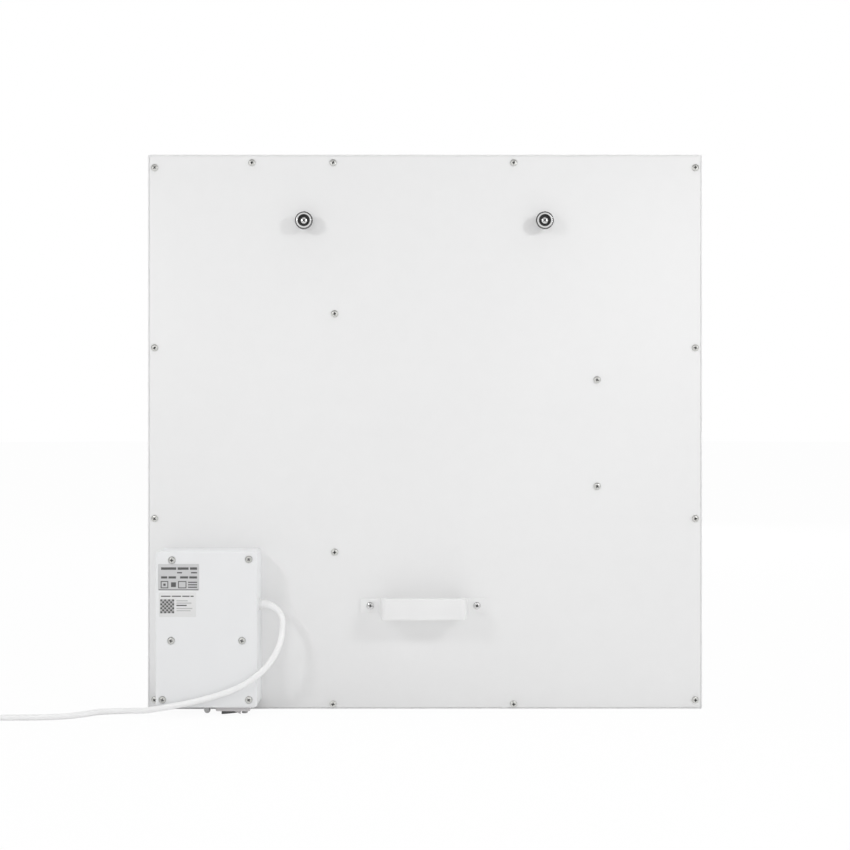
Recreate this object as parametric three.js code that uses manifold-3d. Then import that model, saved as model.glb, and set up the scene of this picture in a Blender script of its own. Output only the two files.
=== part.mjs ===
// Infrared panel heater with a controller box, hanging studs, a bow handle and a mains lead.
//
// Millimetres. +X is to the right when the back is looked at, +Y points out of the warm face into
// the room and +Z is up. The origin is under the middle of the heater, on the surface it stands on.
// Distances "behind" are measured from the back sheet's outer face towards the wall (-Y), and
// distances "within" from the same face towards the warm face (+Y).

import * as THREE from 'three';
import { mergeVertices } from 'three/addons/utils/BufferGeometryUtils.js';
import Module from 'manifold-3d';

const wasm = await Module();
wasm.setup();

// ---------------------------------------------------------------- driving dimensions

const fit = 0.3; // gap round a piece in its hole or pocket
const shankFit = 0.4; // the same round a screw's shank, on the radius
const past = 1; // how far a cutting solid runs past what it cuts
const sides = { hole: 12, screw: 10, small: 16, stud: 24, nut: 6, post: 8, lead: 6, cord: 10 };

const panel = { width: 600, height: 600, depth: 25 };
const sheet = { tray: 1.2, cover: 1, rail: 1.2 };
const flangeWidth = 17;
const layers = { film: 0.6, foil: 0.3, margin: 5 };

// Screw places on the rim, from the edge that each row lies along, or from the middle of the panel.
const rim = {
  insetSide: 7.5,
  insetTop: 9,
  insetBottom: 5.4,
  cornerBelowTop: 14.3,
  cornerAboveBottom: 9.9,
  across: [-99.5, 96],
  extraAcross: -187.3,
  up: [206, 390.8],
};

const stud = {
  spacing: 258,
  middle: -0.7,
  belowTop: 73.6,
  length: 18,
  headLength: 5.5,
  headRadius: 9.5,
  chamfer: 1.3,
  neckRadius: 5.5,
  footRadius: 7,
  footLength: 1.5,
  sinkGap: 1.8,
  sinkDepth: 3.6,
};

const handle = {
  spacing: 115.2,
  middle: -1.5,
  height: 112.2,
  reach: 38,
  tabLength: 20.5,
  tabHeight: 15.6,
  tabThickness: 3.2,
  gripLength: 89,
  gripHeight: 22.6,
  gripThickness: 6.5,
  legThickness: 5,
  legLean: 3,
  bend: 6.5,
  innerBend: 4.5,
  widening: 14,
  edge: 2,
};

// The second set of threaded places, for hanging the panel turned by a quarter.
const turned = { studs: 202.3, handle: 113.8, belowMiddle: 1.4 };

const rail = { width: 26, depth: 7.6, gapToFoil: 0.3, overhang: 20, nutWall: 1.8, nutLength: 4 };

const box = {
  width: 107,
  height: 164.7,
  depth: 40,
  fromEdge: 16,
  rise: 9.3,
  wall: 2.2,
  floor: 2.5,
  lid: 3.2,
  corner: 4,
  ribDepth: 3,
  ribThickness: 1.6,
  bossWall: 1.9,
};

// Lid screws, from the box's corners. The long ones go on into the panel's back sheet.
const lidScrews = [
  { name: 'top_left', fromLeft: 17.3, fromTop: 9.2 },
  { name: 'top_right', fromRight: 8.6, fromTop: 8.3 },
  { name: 'mid_left', fromLeft: 16.5, fromBottom: 70.7, long: true },
  { name: 'mid_right', fromRight: 15.8, fromBottom: 70.7, long: true },
  { name: 'bottom_left', fromLeft: 7.3, fromBottom: 8.4 },
  { name: 'bottom_right', fromRight: 8.6, fromBottom: 8.4 },
];

// Screws, with how far each reaches past the back sheet's outer face into the panel.
const screw = {
  sheet: { head: 3.8, rise: 2.2, shank: 1.9, into: 7.5 },
  machine: { head: 3.9, rise: 2.4, shank: 2.4, into: 6.6 },
  tab: { head: 3.9, rise: 2.4, shank: 2.2, into: 6.6 },
  stud: { head: 4.4, rise: 3, shank: 2.8, into: 6.1 },
  lid: { head: 3.8, rise: 2.2, shank: 1.7, short: 16, into: 7 },
};
const lidSink = 1;
const lidScrewRoom = 1.5;
const recess = { length: 4.2, width: 1.1, depth: 1.5 };

// Switch block in the box's underside, placed from the box's right side and the lid.
const block = {
  fromRight: 26.1,
  fromLid: 14,
  leftMargin: 4.3,
  web: 0.8,
  rightMargin: 3.1,
  thickness: 20,
  drop: 4.5,
  bodyThickness: 16.8,
  bodyHeight: 17.7,
  bodySide: 1.5,
  barrelSide: 1.4,
  barrelHeight: 3.9,
  roof: 0.7,
  pocketRoom: 2,
};
const rocker = {
  length: 20,
  width: 13,
  tilt: 6,
  crown: 6.7,
  waist: 18,
  top: 3,
  topLength: 16,
  endGap: 0.5,
  rise: 1.05,
  bulge: 0.25,
};
const button = { radius: 3.1, edge: 0.6, proud: 3.6, travel: 1.5, inside: 5.2 };
const lens = { fromBlock: 10.1, fromLid: 12, radius: 3.5, drop: 8, stem: 2.5, stemLength: 6 };

const lead = { diameter: 6.2, exitHeight: 107.4, behind: 20, insideEnd: 19.3 };
const gland = {
  gap: 0.4,
  barrelWall: 1.5,
  flangeStep: 1.5,
  flangeThickness: 1.8,
  noseWall: 0.9,
  noseTaper: 0.6,
  noseLength: 3.2,
  nutGap: 0.3,
  nutThickness: 2,
};
const clamp = { length: 8, height: 26, thickness: 4, fromEnd: 6, postWidth: 5 };

const terminal = { width: 18, height: 26, front: 24, foot: 8 };
const board = { x: 9, z: 80, fromTerminal: 7.4, fromTop: 16.7, thickness: 1.6, behind: 10 };
const boardPost = { radius: 2.5, inset: 5 };
const relay = { x: 15, z: 22, width: 20, height: 16, thickness: 15 };

const grommet = { x: 52, z: 46, gap: 1.05, barrelWall: 1.25, flangeStep: 1.8, flangeThickness: 1.2 };
const wire = { radius: 1.1, spread: 2.6, behindFoil: 3, pitch: 5, turn: 6, steps: 36 };
const cutout = { fromBox: 27, z: 60, radius: 8.2, height: 8, window: { width: 62, height: 34 } };
const earthBoss = { fromGrommet: 27, z: 32, radius: 3, length: 3 };

const coil = { turns: 6, gap: 0.6, innerRadius: 24, climb: 0.25, stepsPerTurn: 24, measured: 96 };
const plug = {
  radius: 18.6,
  flat: 16.8,
  thickness: 20,
  noseLength: 24,
  noseStart: 6.4,
  noseWall: 1.1,
  noseSink: 3,
  pinRadius: 2.4,
  pinLength: 19,
  pinSpacing: 19,
};

// ---------------------------------------------------------------- derived places

const lidScrewStand = screw.lid.rise - lidSink;
const backY = (box.depth + lidScrewStand - panel.depth) / 2;
const behind = (distance) => backY - distance;
const within = (distance) => backY + distance;

const half = panel.width / 2;
const flangeBack = sheet.cover;
const railBack = sheet.cover;
const filmFront = panel.depth - sheet.tray;
const filmBack = filmFront - layers.film;
const foilBack = railBack + rail.depth + rail.gapToFoil;
const matBack = foilBack + layers.foil;

const boxLeft = -half + box.fromEdge;
const boxRight = boxLeft + box.width;
const boxBottom = box.rise;
const boxTop = boxBottom + box.height;
const wallTop = box.depth - box.lid - fit;
const lidBack = box.depth - box.lid;

const studX = [stud.middle - stud.spacing / 2, stud.middle + stud.spacing / 2];
const studZ = panel.height - stud.belowTop;
const handleX = [handle.middle - handle.spacing / 2, handle.middle + handle.spacing / 2];
const turnedMiddleZ = panel.height / 2 - turned.belowMiddle;
const turnedStudsX = turned.studs - half;
const turnedHandleX = half - turned.handle;
const turnedStudZ = [turnedMiddleZ - stud.spacing / 2, turnedMiddleZ + stud.spacing / 2];
const turnedHandleZ = [turnedMiddleZ - handle.spacing / 2, turnedMiddleZ + handle.spacing / 2];

const rockerPocket = rocker.length + 2 * rocker.endGap;
const buttonBore = button.radius + fit;
const blockWidth = block.leftMargin + rockerPocket + block.web + 2 * buttonBore + block.rightMargin;
const blockX = boxRight - block.fromRight;
const blockBehind = box.depth - block.fromLid;
const blockBottom = boxBottom - block.drop;
const rockerX = blockX - blockWidth / 2 + block.leftMargin + rockerPocket / 2;
const rockerPivotZ = rocker.rise
  + rocker.crown * Math.cos(THREE.MathUtils.degToRad(rocker.tilt))
  + (rocker.length / 2) * Math.sin(THREE.MathUtils.degToRad(rocker.tilt));
const buttonX = blockX + blockWidth / 2 - block.rightMargin - buttonBore;
const bodyReach = [
  rockerX - rockerPocket / 2 - block.bodySide,
  rockerX + rockerPocket / 2 + block.bodySide,
];
const barrelRight = buttonX + buttonBore + block.barrelSide;
const lensX = blockX - blockWidth / 2 - lens.fromBlock;
const lensBehind = box.depth - lens.fromLid;

const exitZ = boxBottom + lead.exitHeight;
const grommetX = boxLeft + grommet.x;
const grommetZ = boxBottom + grommet.z;
const terminalRight = boxRight - lead.insideEnd - fit;
const boardX = boxLeft + board.x;
const boardZ = boxBottom + board.z;
const boardWidth = terminalRight - terminal.width - board.fromTerminal - boardX;
const boardHeight = boxTop - board.fromTop - boardZ;
const cutoutX = boxRight + cutout.fromBox;
const earthX = grommetX + earthBoss.fromGrommet;
const glandBore = lead.diameter / 2 + gland.gap;
const glandBarrel = glandBore + gland.barrelWall;
const grommetBore = wire.spread + wire.radius + grommet.gap;
const grommetBarrel = grommetBore + grommet.barrelWall;
const bossRadius = screw.lid.shank + shankFit + box.bossWall;

const rimPlaces = [
  ...rim.across.map((x, i) => ({ name: `top_${i + 1}`, x, z: panel.height - rim.insetTop })),
  { name: 'top_extra', x: rim.extraAcross, z: panel.height - rim.insetTop },
  ...rim.across.map((x, i) => ({ name: `bottom_${i + 1}`, x, z: rim.insetBottom })),
  ...['left', 'right'].flatMap((side) => {
    const x = (side === 'left' ? -1 : 1) * (half - rim.insetSide);
    return [
      { name: `${side}_bottom_corner`, x, z: rim.cornerAboveBottom },
      ...rim.up.map((z, i) => ({ name: `${side}_${i + 1}`, x, z })),
      { name: `${side}_top_corner`, x, z: panel.height - rim.cornerBelowTop },
    ];
  }),
];

const blankPlaces = [
  { name: 'stud_lower', x: turnedStudsX, z: turnedStudZ[0] },
  { name: 'stud_upper', x: turnedStudsX, z: turnedStudZ[1] },
  { name: 'handle_lower', x: turnedHandleX, z: turnedHandleZ[0] },
  { name: 'handle_upper', x: turnedHandleX, z: turnedHandleZ[1] },
];

const lidPlaces = lidScrews.map(({ name, long = false, fromLeft, fromRight, fromTop, fromBottom }) => ({
  name,
  long,
  x: fromRight === undefined ? boxLeft + fromLeft : boxRight - fromRight,
  z: fromTop === undefined ? boxBottom + fromBottom : boxTop - fromTop,
}));

// The lead's route from inside the box to the start of its coil, chosen by hand: X, distance behind, Z.
const route = [
  [-196.3, 20, 116.7],
  [-184, 20, 116.7],
  [-175, 20, 116.7],
  [-168.8, 20.4, 116],
  [-163, 21.5, 113.9],
  [-157.9, 23.1, 110.6],
  [-153.9, 25.4, 106.2],
  [-151.5, 28.4, 100.8],
  [-150.8, 32.1, 94],
  [-151.2, 36, 86.8],
  [-152.4, 39.6, 79.2],
  [-155, 42.2, 71.4],
  [-159.4, 43.9, 63],
  [-165.3, 44.8, 54.8],
  [-171.9, 45, 48],
  [-179.1, 45, 42.2],
  [-188.2, 45, 35.8],
  [-200.4, 45, 29.7],
  [-212.9, 45, 25.1],
  [-224.5, 45, 21.5],
  [-236.6, 45, 18.2],
  [-249, 45, 15.2],
  [-263.5, 45, 12.4],
  [-276, 44.8, 10.2],
  [-287.9, 43.3, 8],
  [-298, 39.4, 6.3],
  [-308, 34, 5.1],
  [-320, 28.8, 3.8],
  [-334, 27.4, 3.1],
  [-347, 31.6, 3.1],
  [-359, 42, 3.1],
  [-373, 51, 3.1],
  [-392, 56, 3.1],
  [-416, 58, 3.1],
  [-445, 58.4, 3.1],
  [-474, 58.4, 3.1],
  [-500, 58.4, 3.1],
];
const routeEnd = route[route.length - 1];

// ---------------------------------------------------------------- finishes

const finish = (color, roughness, metalness = 0) =>
  new THREE.MeshStandardMaterial({ color, roughness, metalness });
const finishes = {
  whiteSteel: finish(0xececec, 0.45),
  whitePlastic: finish(0xe9eaee, 0.4),
  chrome: finish(0xd8d8d8, 0.12, 1),
  screwSteel: finish(0x8f8f8c, 0.35, 1),
  galvanised: finish(0xb5b8ba, 0.5, 1),
  film: finish(0x2b2b2b, 0.7),
  mat: finish(0xd9cfa8, 0.95),
  foil: finish(0xd0d2d4, 0.25, 1),
  bezel: finish(0xc4c4c4, 0.4),
  rocker: finish(0x2e2e2e, 0.3),
  lens: finish(0xb8b8bc, 0.15),
  board: finish(0x1f6b3a, 0.5),
  relay: finish(0x2a4a8a, 0.4),
  terminal: finish(0xd8d4c8, 0.5),
  rubber: finish(0x6c6c6c, 0.6),
  cord: finish(0xeeeeee, 0.5),
  pins: finish(0xc9c6bd, 0.25, 1),
  brown: finish(0x6b3f22, 0.5),
  blue: finish(0x2f5fb0, 0.5),
  greenYellow: finish(0xa8b82a, 0.5),
};

// ---------------------------------------------------------------- geometry helpers

/** The closed solid of a geometry, for joining and cutting. */
function solidOf(geometry) {
  const bare = geometry.clone();
  for (const attribute of Object.keys(bare.attributes)) {
    if (attribute !== 'position') bare.deleteAttribute(attribute);
  }
  const merged = mergeVertices(bare);
  return new wasm.Manifold(new wasm.Mesh({
    numProp: 3,
    vertProperties: new Float32Array(merged.attributes.position.array),
    triVerts: new Uint32Array(merged.index.array),
  }));
}

/** The geometry of a joined or cut solid. */
function geometryOf(solid) {
  const { vertProperties, triVerts } = solid.getMesh();
  const geometry = new THREE.BufferGeometry();
  geometry.setAttribute('position', new THREE.BufferAttribute(vertProperties, 3));
  geometry.setIndex(new THREE.BufferAttribute(triVerts, 1));
  geometry.computeVertexNormals();
  return geometry;
}

const joined = (solids) => solids.reduce((whole, solid) => whole.add(solid));
const cut = (solid, cutters) => cutters.reduce((rest, cutter) => rest.subtract(cutter), solid);

/** A block between two corners, given as X, Y and Z ranges. */
function blockGeometry([x0, x1], [y0, y1], [z0, z1]) {
  return new THREE.BoxGeometry(x1 - x0, Math.abs(y1 - y0), z1 - z0)
    .translate((x0 + x1) / 2, (y0 + y1) / 2, (z0 + z1) / 2);
}

const blockSolid = (xs, ys, zs) => solidOf(blockGeometry(xs, ys, zs));

/** A round bar along Y between two Y places. */
function barSolid(x, z, radius, y0, y1, count = sides.hole) {
  return solidOf(new THREE.CylinderGeometry(radius, radius, Math.abs(y1 - y0), count)
    .translate(x, (y0 + y1) / 2, z));
}

/** A turned piece about the Y axis. The profile runs anticlockwise in (radius, Y). */
function turnedGeometry(profile, count) {
  return new THREE.LatheGeometry(profile.map(([r, y]) => new THREE.Vector2(r, y)), count);
}

/** The outline of a rounded rectangle. */
function roundedOutline(x0, x1, z0, z1, radius) {
  const outline = new THREE.Shape();
  outline.moveTo(x0 + radius, z0);
  outline.lineTo(x1 - radius, z0);
  outline.absarc(x1 - radius, z0 + radius, radius, -Math.PI / 2, 0);
  outline.lineTo(x1, z1 - radius);
  outline.absarc(x1 - radius, z1 - radius, radius, 0, Math.PI / 2);
  outline.lineTo(x0 + radius, z1);
  outline.absarc(x0 + radius, z1 - radius, radius, Math.PI / 2, Math.PI);
  outline.lineTo(x0, z0 + radius);
  outline.absarc(x0 + radius, z0 + radius, radius, Math.PI, Math.PI * 1.5);
  return outline;
}

/** An outline in X and Z as a slab between two distances behind the back sheet. */
function slabSolid(outline, from, to, curveSegments = 3) {
  const depth = to - from;
  const slab = new THREE.ExtrudeGeometry(outline, { depth, bevelEnabled: false, curveSegments });
  return solidOf(slab.rotateX(Math.PI / 2).translate(0, behind(from), 0));
}

/** The box's outline drawn in by an inset. */
function boxOutline(inset) {
  const radius = Math.max(box.corner - inset, 0.8);
  return roundedOutline(boxLeft + inset, boxRight - inset, boxBottom + inset, boxTop - inset, radius);
}

/** A tube of regular section along points, with flat square ends. */
function tubeGeometry(points, radius, count, steps) {
  const section = new THREE.Shape(Array.from({ length: count }, (_, i) => {
    const angle = (2 * Math.PI * i) / count;
    return new THREE.Vector2(radius * Math.cos(angle), radius * Math.sin(angle));
  }));
  const extrudePath = new THREE.CatmullRomCurve3(points, false, 'centripetal');
  return new THREE.ExtrudeGeometry(section, { steps, extrudePath, bevelEnabled: false });
}

/** A pan head screw with a cross recess, seated at Y = 0 with its head towards -Y. */
function screwGeometry({ head, rise, shank, length }) {
  const body = turnedGeometry([
    [0, -rise],
    [head * 0.66, -rise],
    [head, -rise * 0.4],
    [head, 0],
    [shank, 0],
    [shank, length],
    [0, length],
  ], sides.screw);
  const { length: long, width, depth } = recess;
  const bottom = -rise + depth;
  const blades = [
    blockSolid([-long / 2, long / 2], [-rise - past, bottom], [-width / 2, width / 2]),
    blockSolid([-width / 2, width / 2], [-rise - past, bottom], [-long / 2, long / 2]),
  ];
  return geometryOf(cut(solidOf(body), blades));
}

const heater = new THREE.Group();

/** Adds a named piece to the heater. */
function addPiece(name, shape, material, place = [0, 0, 0]) {
  const geometry = shape.isBufferGeometry ? shape : geometryOf(shape);
  const mesh = new THREE.Mesh(geometry, material);
  mesh.name = name;
  mesh.position.set(...place);
  heater.add(mesh);
  return mesh;
}

/** Adds a screw whose head is seated at a distance behind the back sheet. */
function addScrew(name, kind, x, seatBehind, z, length = seatBehind + kind.into) {
  const geometry = screwGeometry({ ...kind, length });
  addPiece(name, geometry, finishes.screwSteel, [x, behind(seatBehind), z]);
}

/** The holes of a list of places through a range of distances within the panel. */
const shankHoles = (places, shank, from, to) =>
  places.map(({ x, z }) => barSolid(x, z, shank + shankFit, within(from), within(to)));

// ---------------------------------------------------------------- panel shell

/** The folded front tray: warm face, four walls and a flange that the back sheet is screwed to. */
function frontTray() {
  const inner = half - sheet.tray;
  const open = inner - flangeWidth;
  const top = panel.height - sheet.tray;
  const flangeFront = flangeBack + sheet.tray;
  const outside = blockSolid([-half, half], [within(0), within(panel.depth)], [0, panel.height]);
  const seat = blockSolid([-inner, inner], [within(-past), within(flangeBack)], [sheet.tray, top]);
  const mouth = blockSolid(
    [-open, open],
    [within(flangeBack - past), within(flangeFront + past)],
    [sheet.tray + flangeWidth, top - flangeWidth],
  );
  const pocket = blockSolid([-inner, inner], [within(flangeFront), within(filmFront)], [sheet.tray, top]);
  const holes = shankHoles(rimPlaces, screw.sheet.shank, flangeBack - past, flangeFront + past);
  return cut(outside, [seat, mouth, pocket, ...holes]);
}

/** The flat back sheet, with every hole that the fixings and the leads go through. */
function backCover() {
  const inner = half - sheet.tray - fit;
  const low = sheet.tray + fit;
  const plate = blockSolid([-inner, inner], [within(0), within(sheet.cover)], [low, panel.height - low]);
  const through = [-past, sheet.cover + past];
  const at = (x, z) => ({ x, z });
  const holes = [
    ...shankHoles(rimPlaces, screw.sheet.shank, ...through),
    ...shankHoles(blankPlaces, screw.machine.shank, ...through),
    ...shankHoles(studX.map((x) => at(x, studZ)), screw.stud.shank, ...through),
    ...shankHoles(handleX.map((x) => at(x, handle.height)), screw.tab.shank, ...through),
    ...shankHoles(lidPlaces.filter(({ long }) => long), screw.lid.shank, ...through),
    barSolid(grommetX, grommetZ, grommetBarrel + fit, ...through.map(within)),
  ];
  const earth = barSolid(
    earthX,
    earthBoss.z,
    earthBoss.radius,
    within(sheet.cover / 2),
    within(sheet.cover + earthBoss.length),
  );
  return cut(plate, holes).add(earth);
}

/** A channel that stiffens the back sheet behind two threaded places. */
function stiffeningRail(places, shank, upright) {
  const xs = places.map(({ x }) => x);
  const zs = places.map(({ z }) => z);
  const sideX = upright ? rail.width / 2 : rail.overhang;
  const sideZ = upright ? rail.overhang : rail.width / 2;
  const xRange = [Math.min(...xs) - sideX, Math.max(...xs) + sideX];
  const zRange = [Math.min(...zs) - sideZ, Math.max(...zs) + sideZ];
  const yRange = [within(railBack), within(railBack + rail.depth)];
  const grooveStart = within(railBack + sheet.rail);
  const insetX = upright ? sheet.rail : -past;
  const insetZ = upright ? -past : sheet.rail;
  const groove = blockSolid(
    [xRange[0] + insetX, xRange[1] - insetX],
    [grooveStart, yRange[1] + past],
    [zRange[0] + insetZ, zRange[1] - insetZ],
  );
  const channel = blockSolid(xRange, yRange, zRange).subtract(groove);
  const nutStart = within(railBack + sheet.rail / 2);
  const nutFront = railBack + sheet.rail + rail.nutLength;
  const nutRadius = shank + shankFit + rail.nutWall;
  const nuts = places.map(({ x, z }) =>
    barSolid(x, z, nutRadius, nutStart, within(nutFront), sides.nut));
  const holes = shankHoles(places, shank, railBack - past, nutFront + past);
  return cut(joined([channel, ...nuts]), holes);
}

/** A flat layer inside the tray, with a window for the cutout and its leads where it has one. */
function layer(from, to, margin, hasWindow) {
  const side = half - sheet.tray - margin;
  const low = sheet.tray + margin;
  const slab = blockSolid([-side, side], [within(from), within(to)], [low, panel.height - low]);
  if (!hasWindow) return slab;
  const { width, height } = cutout.window;
  const window = blockSolid(
    [cutoutX - width / 2, cutoutX + width / 2],
    [within(from - past), within(to + past)],
    [cutout.z - height / 2, cutout.z + height / 2],
  );
  return slab.subtract(window);
}

function addPanel() {
  const { whiteSteel, galvanised, film, mat, foil } = finishes;
  const topStuds = studX.map((x) => ({ x, z: studZ }));
  const handleHoles = handleX.map((x) => ({ x, z: handle.height }));
  addPiece('front_tray', frontTray(), whiteSteel);
  addPiece('back_cover', backCover(), whiteSteel);
  addPiece('heating_film', layer(filmBack, filmFront, layers.margin, false), film);
  addPiece('insulation_mat', layer(matBack, filmBack, layers.margin, true), mat);
  addPiece('reflector_foil', layer(foilBack, matBack, layers.margin, true), foil);
  const spare = screw.machine.shank;
  addPiece('hanger_rail_top', stiffeningRail(topStuds, screw.stud.shank, false), galvanised);
  addPiece('hanger_rail_side', stiffeningRail(blankPlaces.slice(0, 2), spare, true), galvanised);
  addPiece('handle_rail_bottom', stiffeningRail(handleHoles, screw.tab.shank, false), galvanised);
  addPiece('handle_rail_side', stiffeningRail(blankPlaces.slice(2), spare, true), galvanised);
  rimPlaces.forEach(({ name, x, z }) => addScrew(`rim_screw_${name}`, screw.sheet, x, 0, z));
  blankPlaces.forEach(({ name, x, z }) => addScrew(`blanking_screw_${name}`, screw.machine, x, 0, z));
}

// ---------------------------------------------------------------- hanging studs and handle

/** A mushroom stud with a sunk centre screw, its foot at Y = 0 and its head towards -Y. */
function hangingStud() {
  const { length, headLength, headRadius, chamfer, neckRadius } = stud;
  const { footRadius, footLength, sinkDepth } = stud;
  const bore = screw.stud.shank + shankFit;
  const sinkRadius = screw.stud.head + stud.sinkGap;
  const headBack = length - headLength;
  return turnedGeometry([
    [bore, -(length - sinkDepth)],
    [sinkRadius, -(length - sinkDepth)],
    [sinkRadius, -length],
    [headRadius - chamfer, -length],
    [headRadius, -(length - chamfer)],
    [headRadius, -headBack],
    [neckRadius, -headBack],
    [neckRadius, -footLength],
    [footRadius, -footLength],
    [footRadius, 0],
    [bore, 0],
    [bore, -(length - sinkDepth)],
  ], sides.stud);
}

function addStuds() {
  studX.forEach((x, i) => {
    const side = i ? 'right' : 'left';
    addPiece(`hanging_stud_${side}`, hangingStud(), finishes.chrome, [x, behind(0), studZ]);
    addScrew(`hanging_stud_screw_${side}`, screw.stud, x, stud.length - stud.sinkDepth, studZ);
  });
}

/** The bow handle: a bent strip with a screw tab at each end, narrowed towards its tabs. */
function bowHandle() {
  const { reach, tabLength, tabThickness, gripLength, gripThickness } = handle;
  const { legThickness, legLean, bend, innerBend, middle } = handle;
  const legOut = gripLength / 2 + legLean;
  const tabEnd = legOut + tabLength;
  const strip = new THREE.Shape();
  strip.moveTo(-tabEnd, 0);
  strip.lineTo(-(legOut - legThickness), 0);
  strip.lineTo(-(gripLength / 2 - legThickness), -(reach - gripThickness - innerBend));
  strip.lineTo(-(gripLength / 2 - legThickness - innerBend), -(reach - gripThickness));
  strip.lineTo(gripLength / 2 - legThickness - innerBend, -(reach - gripThickness));
  strip.lineTo(gripLength / 2 - legThickness, -(reach - gripThickness - innerBend));
  strip.lineTo(legOut - legThickness, 0);
  strip.lineTo(tabEnd, 0);
  strip.lineTo(tabEnd, -tabThickness);
  strip.lineTo(legOut, -tabThickness);
  strip.lineTo(gripLength / 2, -(reach - bend));
  strip.quadraticCurveTo(gripLength / 2, -reach, gripLength / 2 - bend, -reach);
  strip.lineTo(-(gripLength / 2 - bend), -reach);
  strip.quadraticCurveTo(-gripLength / 2, -reach, -gripLength / 2, -(reach - bend));
  strip.lineTo(-legOut, -tabThickness);
  strip.lineTo(-tabEnd, -tabThickness);
  const { gripHeight, tabHeight, height, edge } = handle;
  const bow = new THREE.ExtrudeGeometry(strip, { depth: gripHeight, bevelEnabled: false, curveSegments: 4 })
    .translate(middle, behind(0), height - gripHeight / 2);
  const side = new THREE.Shape();
  const widened = tabThickness + handle.widening;
  side.moveTo(-past, -tabHeight / 2);
  side.lineTo(tabThickness, -tabHeight / 2);
  side.lineTo(widened, -gripHeight / 2);
  side.lineTo(reach - edge, -gripHeight / 2);
  side.lineTo(reach, -gripHeight / 2 + edge);
  side.lineTo(reach + past, -gripHeight / 2 + edge);
  side.lineTo(reach + past, gripHeight / 2 - edge);
  side.lineTo(reach, gripHeight / 2 - edge);
  side.lineTo(reach - edge, gripHeight / 2);
  side.lineTo(widened, gripHeight / 2);
  side.lineTo(tabThickness, tabHeight / 2);
  side.lineTo(-past, tabHeight / 2);
  const waist = new THREE.ExtrudeGeometry(side, { depth: 2 * (tabEnd + past), bevelEnabled: false })
    .rotateY(-Math.PI / 2)
    .rotateX(Math.PI / 2)
    .translate(middle + tabEnd + past, behind(0), height);
  const bore = screw.tab.shank + shankFit;
  const holes = handleX.map((x) =>
    barSolid(x, height, bore, behind(-past), behind(tabThickness + past)));
  return cut(solidOf(bow).intersect(solidOf(waist)), holes);
}

function addHandle() {
  addPiece('bow_handle', bowHandle(), finishes.whitePlastic);
  handleX.forEach((x, i) => {
    addScrew(`handle_screw_${i ? 'right' : 'left'}`, screw.tab, x, handle.tabThickness, handle.height);
  });
}

// ---------------------------------------------------------------- controller box

/** The Y range of a thickness about the switch block's middle plane. */
const nearBlock = (thickness) => [
  behind(blockBehind + thickness / 2),
  behind(blockBehind - thickness / 2),
];

/** The deep box: floor, walls, screw bosses, board posts, terminal foot and clamp posts. */
function boxBase() {
  const shell = slabSolid(boxOutline(0), 0, wallTop)
    .subtract(slabSolid(boxOutline(box.wall), box.floor, wallTop + past));
  const start = box.floor / 2;
  const bosses = lidPlaces.map(({ x, z }) =>
    barSolid(x, z, bossRadius, behind(start), behind(lidBack - fit)));
  const postRange = [behind(start), behind(board.behind - fit)];
  const posts = [boardPost.inset, boardWidth - boardPost.inset].flatMap((x) =>
    [boardPost.inset, boardHeight - boardPost.inset].map((z) =>
      barSolid(boardX + x, boardZ + z, boardPost.radius, ...postRange, sides.post)));
  const foot = blockSolid(
    [terminalRight - terminal.width, terminalRight],
    [behind(terminal.foot), behind(start)],
    [exitZ - terminal.height / 2, exitZ + terminal.height / 2],
  );
  const clampX = boxRight - lead.insideEnd + clamp.fromEnd;
  const clampPosts = [-1, 1].map((side) => {
    const z = exitZ + side * (clamp.height / 2 - clamp.postWidth / 2);
    return blockSolid(
      [clampX - clamp.length / 2, clampX + clamp.length / 2],
      [behind(lead.behind + lead.diameter / 2), behind(start)],
      [z - clamp.postWidth / 2, z + clamp.postWidth / 2],
    );
  });
  const screwHoles = lidPlaces.map(({ x, z, long }) => {
    const bottom = long ? -past : box.depth - lidSink - screw.lid.short - lidScrewRoom;
    return barSolid(x, z, screw.lid.shank + shankFit, behind(bottom), behind(box.depth));
  });
  const wallHole = (radius, count) =>
    new THREE.CylinderGeometry(radius, radius, box.wall + 2 * past, count);
  const glandHole = solidOf(wallHole(glandBarrel + fit, sides.small)
    .rotateZ(Math.PI / 2)
    .translate(boxRight - box.wall / 2, behind(lead.behind), exitZ));
  const blockCut = blockSolid(
    [bodyReach[0] - fit, barrelRight + fit],
    nearBlock(block.bodyThickness + 2 * fit),
    [boxBottom - past, boxBottom + box.wall + past],
  );
  const lensHole = solidOf(wallHole(lens.stem + fit, sides.hole)
    .rotateX(Math.PI / 2)
    .translate(lensX, behind(lensBehind), boxBottom + box.wall / 2));
  const leadHole = barSolid(
    grommetX,
    grommetZ,
    grommetBarrel + fit,
    behind(-past),
    behind(box.floor + past),
  );
  const body = joined([shell, ...bosses, ...posts, foot, ...clampPosts]);
  return cut(body, [...screwHoles, glandHole, blockCut, lensHole, leadHole]);
}

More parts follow.
